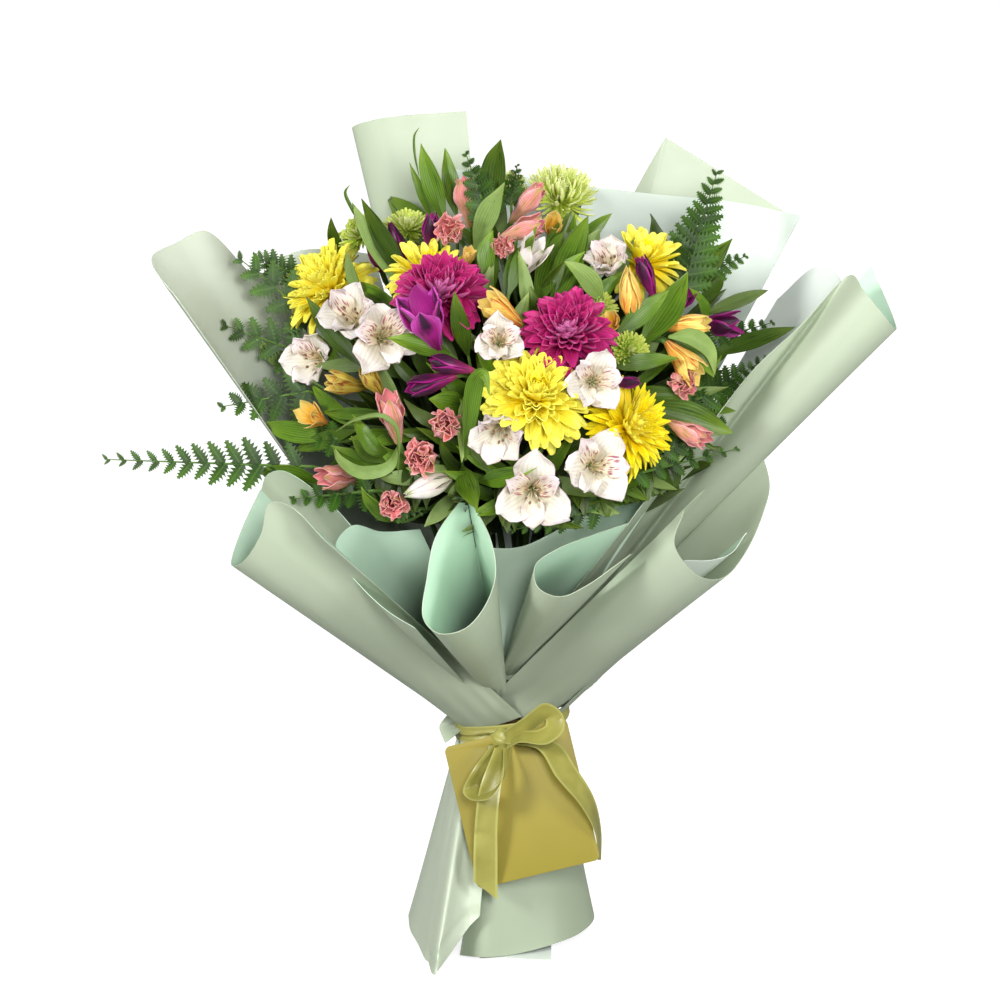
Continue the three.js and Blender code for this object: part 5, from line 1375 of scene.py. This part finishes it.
# more fronds that show between the blooms and over the rims
MORE_FERNS = [(52, 284, -4, -6, 270, -6, 15, 4, 2), (-98, 288, -2, -66, 282, 0, 13, 3, 2),
    (-6, 486, -12, -2, 512, -8, 12, 3, 2), (112, 436, -14, 150, 452, -8, 16, 4, 3),
    (120, 394, -10, 168, 408, -4, 16, 4, 3), (96, 330, -8, 150, 356, -2, 18, 5, 3),
    (84, 318, -4, 128, 336, 2, 14, 4, 2), (-120, 330, -8, -160, 336, -2, 16, 4, 2),
    (-70, 284, -4, -120, 300, 2, 15, 4, 2), (40, 300, -10, 92, 296, -4, 16, 4, 2),
    (-150, 440, -14, -176, 452, -8, 15, 3, 3)]
fillers = [piece for k, row in enumerate(MORE_FERNS) for piece in frond(row, 400 + k, 30)]
hand_in(joined("fern_filler", fillers), "fern_green")


# ---- foliage that fills the heart and the back of the bunch ----
def filling():
    """Leaves spread evenly over shells in the bunch, tinted dark as painted shade deep among the blooms."""
    r = random.Random(7)
    made = []
    count = 330
    for k in range(count):
        height = -0.42 + 1.39 * (k + 0.5) / count
        turn = GOLDEN * k
        flat = math.sqrt(max(1 - height * height, 0))
        share = r.uniform(0.62, 0.84) if k % 3 else r.uniform(0.82, 0.94)
        depth = flat * math.sin(turn)
        if k % 4:                                    # most of them on the side that faces front
            depth = -abs(depth)
        tip = DOME_MIDDLE + Vector((flat * math.cos(turn) * DOME["rx"], depth * DOME["ry"] * 0.92,
                                    height * DOME["rz"])) * share * MM
        base = HEART.lerp(tip, 0.42) + Vector((r.uniform(-1, 1), r.uniform(-1, 1), r.uniform(-1, 1))) * 14 * MM
        made += leaf(tip, base, r.uniform(15, 23), r.uniform(-6, 8), 700 + k, along=10, shade=(0.0, 0.3))
    hand_in(keep_inside(joined("filler_leaves", made)), "leaf_green")


def between_blooms():
    """Leaves that show in the gaps between the blooms."""
    r = random.Random(19)
    taken = [(h[0], h[1], h[4] * 0.82) for _, _, heads in MUMS for h in heads]
    taken += [(f[0], f[1], f[4] * 0.4) for _, florets in SPRAYS for f in florets]
    made = []
    for k in range(210):
        far = math.sqrt((k + 0.5) / 210)
        turn = GOLDEN * k
        across, up = 1 + 130 * far * math.cos(turn), 376 + 100 * far * math.sin(turn)
        if any(math.hypot(across - a, up - u) < room for a, u, room in taken):
            continue
        way = math.atan2(up - 300, (across - 3) * 1.1) + r.uniform(-0.6, 0.6)
        size = r.uniform(16, 27)
        tip = on_dome(across + size * math.cos(way), up + size * math.sin(way), r.uniform(-6, 8))
        base = on_dome(across - size * math.cos(way), up - size * math.sin(way), r.uniform(-30, -18))
        made += leaf(tip, base, r.uniform(7, 12), r.uniform(1, 8), 900 + k, along=12)
    for k in range(40):                              # they hide the stalks above the collar
        across = -124 + 226 * (k + r.uniform(0, 1)) / 40
        if -54 < across < -16:                       # the leaf cone's tip is in front of these
            continue
        tip = on_dome(across * 1.05, r.uniform(262, 280) + abs(across) * 0.18, r.uniform(-10, 4))
        base = on_dome(across * 0.9, 314 + abs(across) * 0.1, r.uniform(-32, -18))
        # these leaves are tinted dark as painted shade above the collar
        made += leaf(tip, base, r.uniform(10, 15), r.uniform(2, 8), 1300 + k, along=12, shade=(0.0, 0.4))
    hand_in(keep_inside(joined("gap_leaves", made)), "leaf_green")


# leaves that bend over: route across, up, lift from foot to tip; width; turned over
BENT = [
    ([(-80, 307, 16), (-81, 337, 26), (-90, 345, 34), (-107, 343, 34), (-121, 335, 26)], 3.4, True),
    ([(-80, 325, 16), (-86, 312, 30), (-104, 308, 36), (-118, 316, 32), (-123, 326, 22)], 9, True),
    ([(-88, 322, 14), (-96, 324, 24), (-104, 336, 28), (-110, 346, 22)], 11, False),
    ([(-36, 316, 14), (-33, 345, 24), (-29, 368, 32), (-24, 372, 36), (-20, 358, 34)], 12, False),
    ([(97, 397, 12), (112, 397, 22), (124, 388, 24), (128, 372, 18)], 12, True),
    ([(-104, 470, 4), (-112, 484, 8), (-116, 494, 6), (-113, 499, 2)], 2.4, False),
    ([(-67, 505, 4), (-70, 520, 4), (-70, 532, 2), (-67, 537, 0)], 1.6, False),
]


def bent_leaves():
    made = []
    for k, (route, width, turned) in enumerate(BENT):
        spine = catmull([on_dome(*spot) for spot in route], np.linspace(0, 1, 60))
        across, up = directions(spine, Vector((0.2, -COS, SIN)))
        made.append(blade(26, spine, across, up, width, -1 if turned else 1, 0.4))
        tint(made[-1], random.Random(1500 + k).uniform(0.5, 0.95))
    hand_in(joined("bent_leaves", made), "leaf_green")


filling()
between_blooms()
bent_leaves()


# ---- stems ----
def stems():
    """Spiralled stems from their cut ends on the floor, through the twine, up to the hubs of the groups."""
    made = []
    tops = stem_tops + [HEART + Vector((math.cos(k), math.sin(k), 0)) * 30 * MM for k in range(5)]
    for k, top in enumerate(tops):
        turn = 2.4 * k
        ring = math.sqrt((k + 0.5) / len(tops))
        foot = Vector((ring * 23 * math.cos(turn), ring * 23 * math.sin(turn), 0.1)) * MM
        grip = Vector((TIE_X + ring * BUNDLE * 0.86 * math.cos(turn + 0.5),
                       ring * BUNDLE * 0.86 * math.sin(turn + 0.5), TIE_HEIGHT)) * MM
        shares = np.linspace(0, 1, 18)
        route = catmull([foot, foot.lerp(grip, 0.5), grip, grip.lerp(top, 0.5), top], shares)
        wide = 2.3 if k % 3 else 2.9
        made.append(stalk("stem", route, widths(*(wide * (1 - 0.35 * t) for t in shares)), STEM_GREEN,
                          shade=0.3 + 0.5 * (k % 4) / 4))
    hand_in(joined("stem_bundle", made), "stem_green", "stems")


stems()
for petals in STOCK.values():
    discard(*petals)
discard(STAMEN, PINNA)


# ---- floor, light and camera ----
# lamps: place, size, power
LAMPS = dict(key=((-2.4, -2.3, 1.9), 0.8, 100), front=((0.5, -3.1, 1.6), 0.9, 74), fill=((2.4, -2.0, 0.9), 0.9, 40),
             back=((0.3, 1.6, 2.2), 1.2, 20))
LAMP_TARGET = Vector((0, 0, 0.28))
EYE_AT, EYE_LENS = at(-13.33, 290, 0) - 8 * Vector(LINE_OF_SIGHT), 432      # far off, for little perspective
WORLD_LIGHT, FLOOR_GLOW = 0.17, 0.86


def set_up():
    alone()
    bpy.ops.mesh.primitive_plane_add(size=34, location=(0, 0, 0))
    floor = bpy.context.object
    floor.name = "floor"
    made, tree, shader = surface("pale_floor", 0.8, specular=0.1)
    shader["Base Color"].default_value = rgb(164, 166, 164)
    # the sweep glows for the eye alone, so that it stays white and throws no light up at the paper
    shader["Emission Color"].default_value = (1, 1, 1, 1)
    glow = times(tree, node(tree, "ShaderNodeLightPath").outputs["Is Camera Ray"], FLOOR_GLOW)
    tree.links.new(glow, shader["Emission Strength"])
    floor.data.materials.append(made)
    for name, (place, size, power) in LAMPS.items():
        light = bpy.data.lights.new(name, "AREA")
        light.size = size
        light.energy = power
        lamp = bpy.data.objects.new(name, light)
        lamp.location = place
        lamp.rotation_euler = (LAMP_TARGET - Vector(place)).to_track_quat("-Z", "Y").to_euler()
        bpy.context.scene.collection.objects.link(lamp)
    world = bpy.data.worlds.new("studio")
    world.use_nodes = True
    sky = world.node_tree.nodes["Background"].inputs
    sky["Color"].default_value = (1, 1, 1, 1)
    sky["Strength"].default_value = WORLD_LIGHT
    bpy.context.scene.world = world
    bpy.context.scene.view_settings.view_transform = "Standard"
    eye = bpy.data.cameras.new("camera")
    eye.lens, eye.clip_end = EYE_LENS, 40
    camera = bpy.data.objects.new("camera", eye)
    camera.location = EYE_AT
    camera.rotation_euler = (math.radians(90) - TILT, 0, 0)
    bpy.context.scene.collection.objects.link(camera)
    bpy.context.scene.camera = camera


set_up()
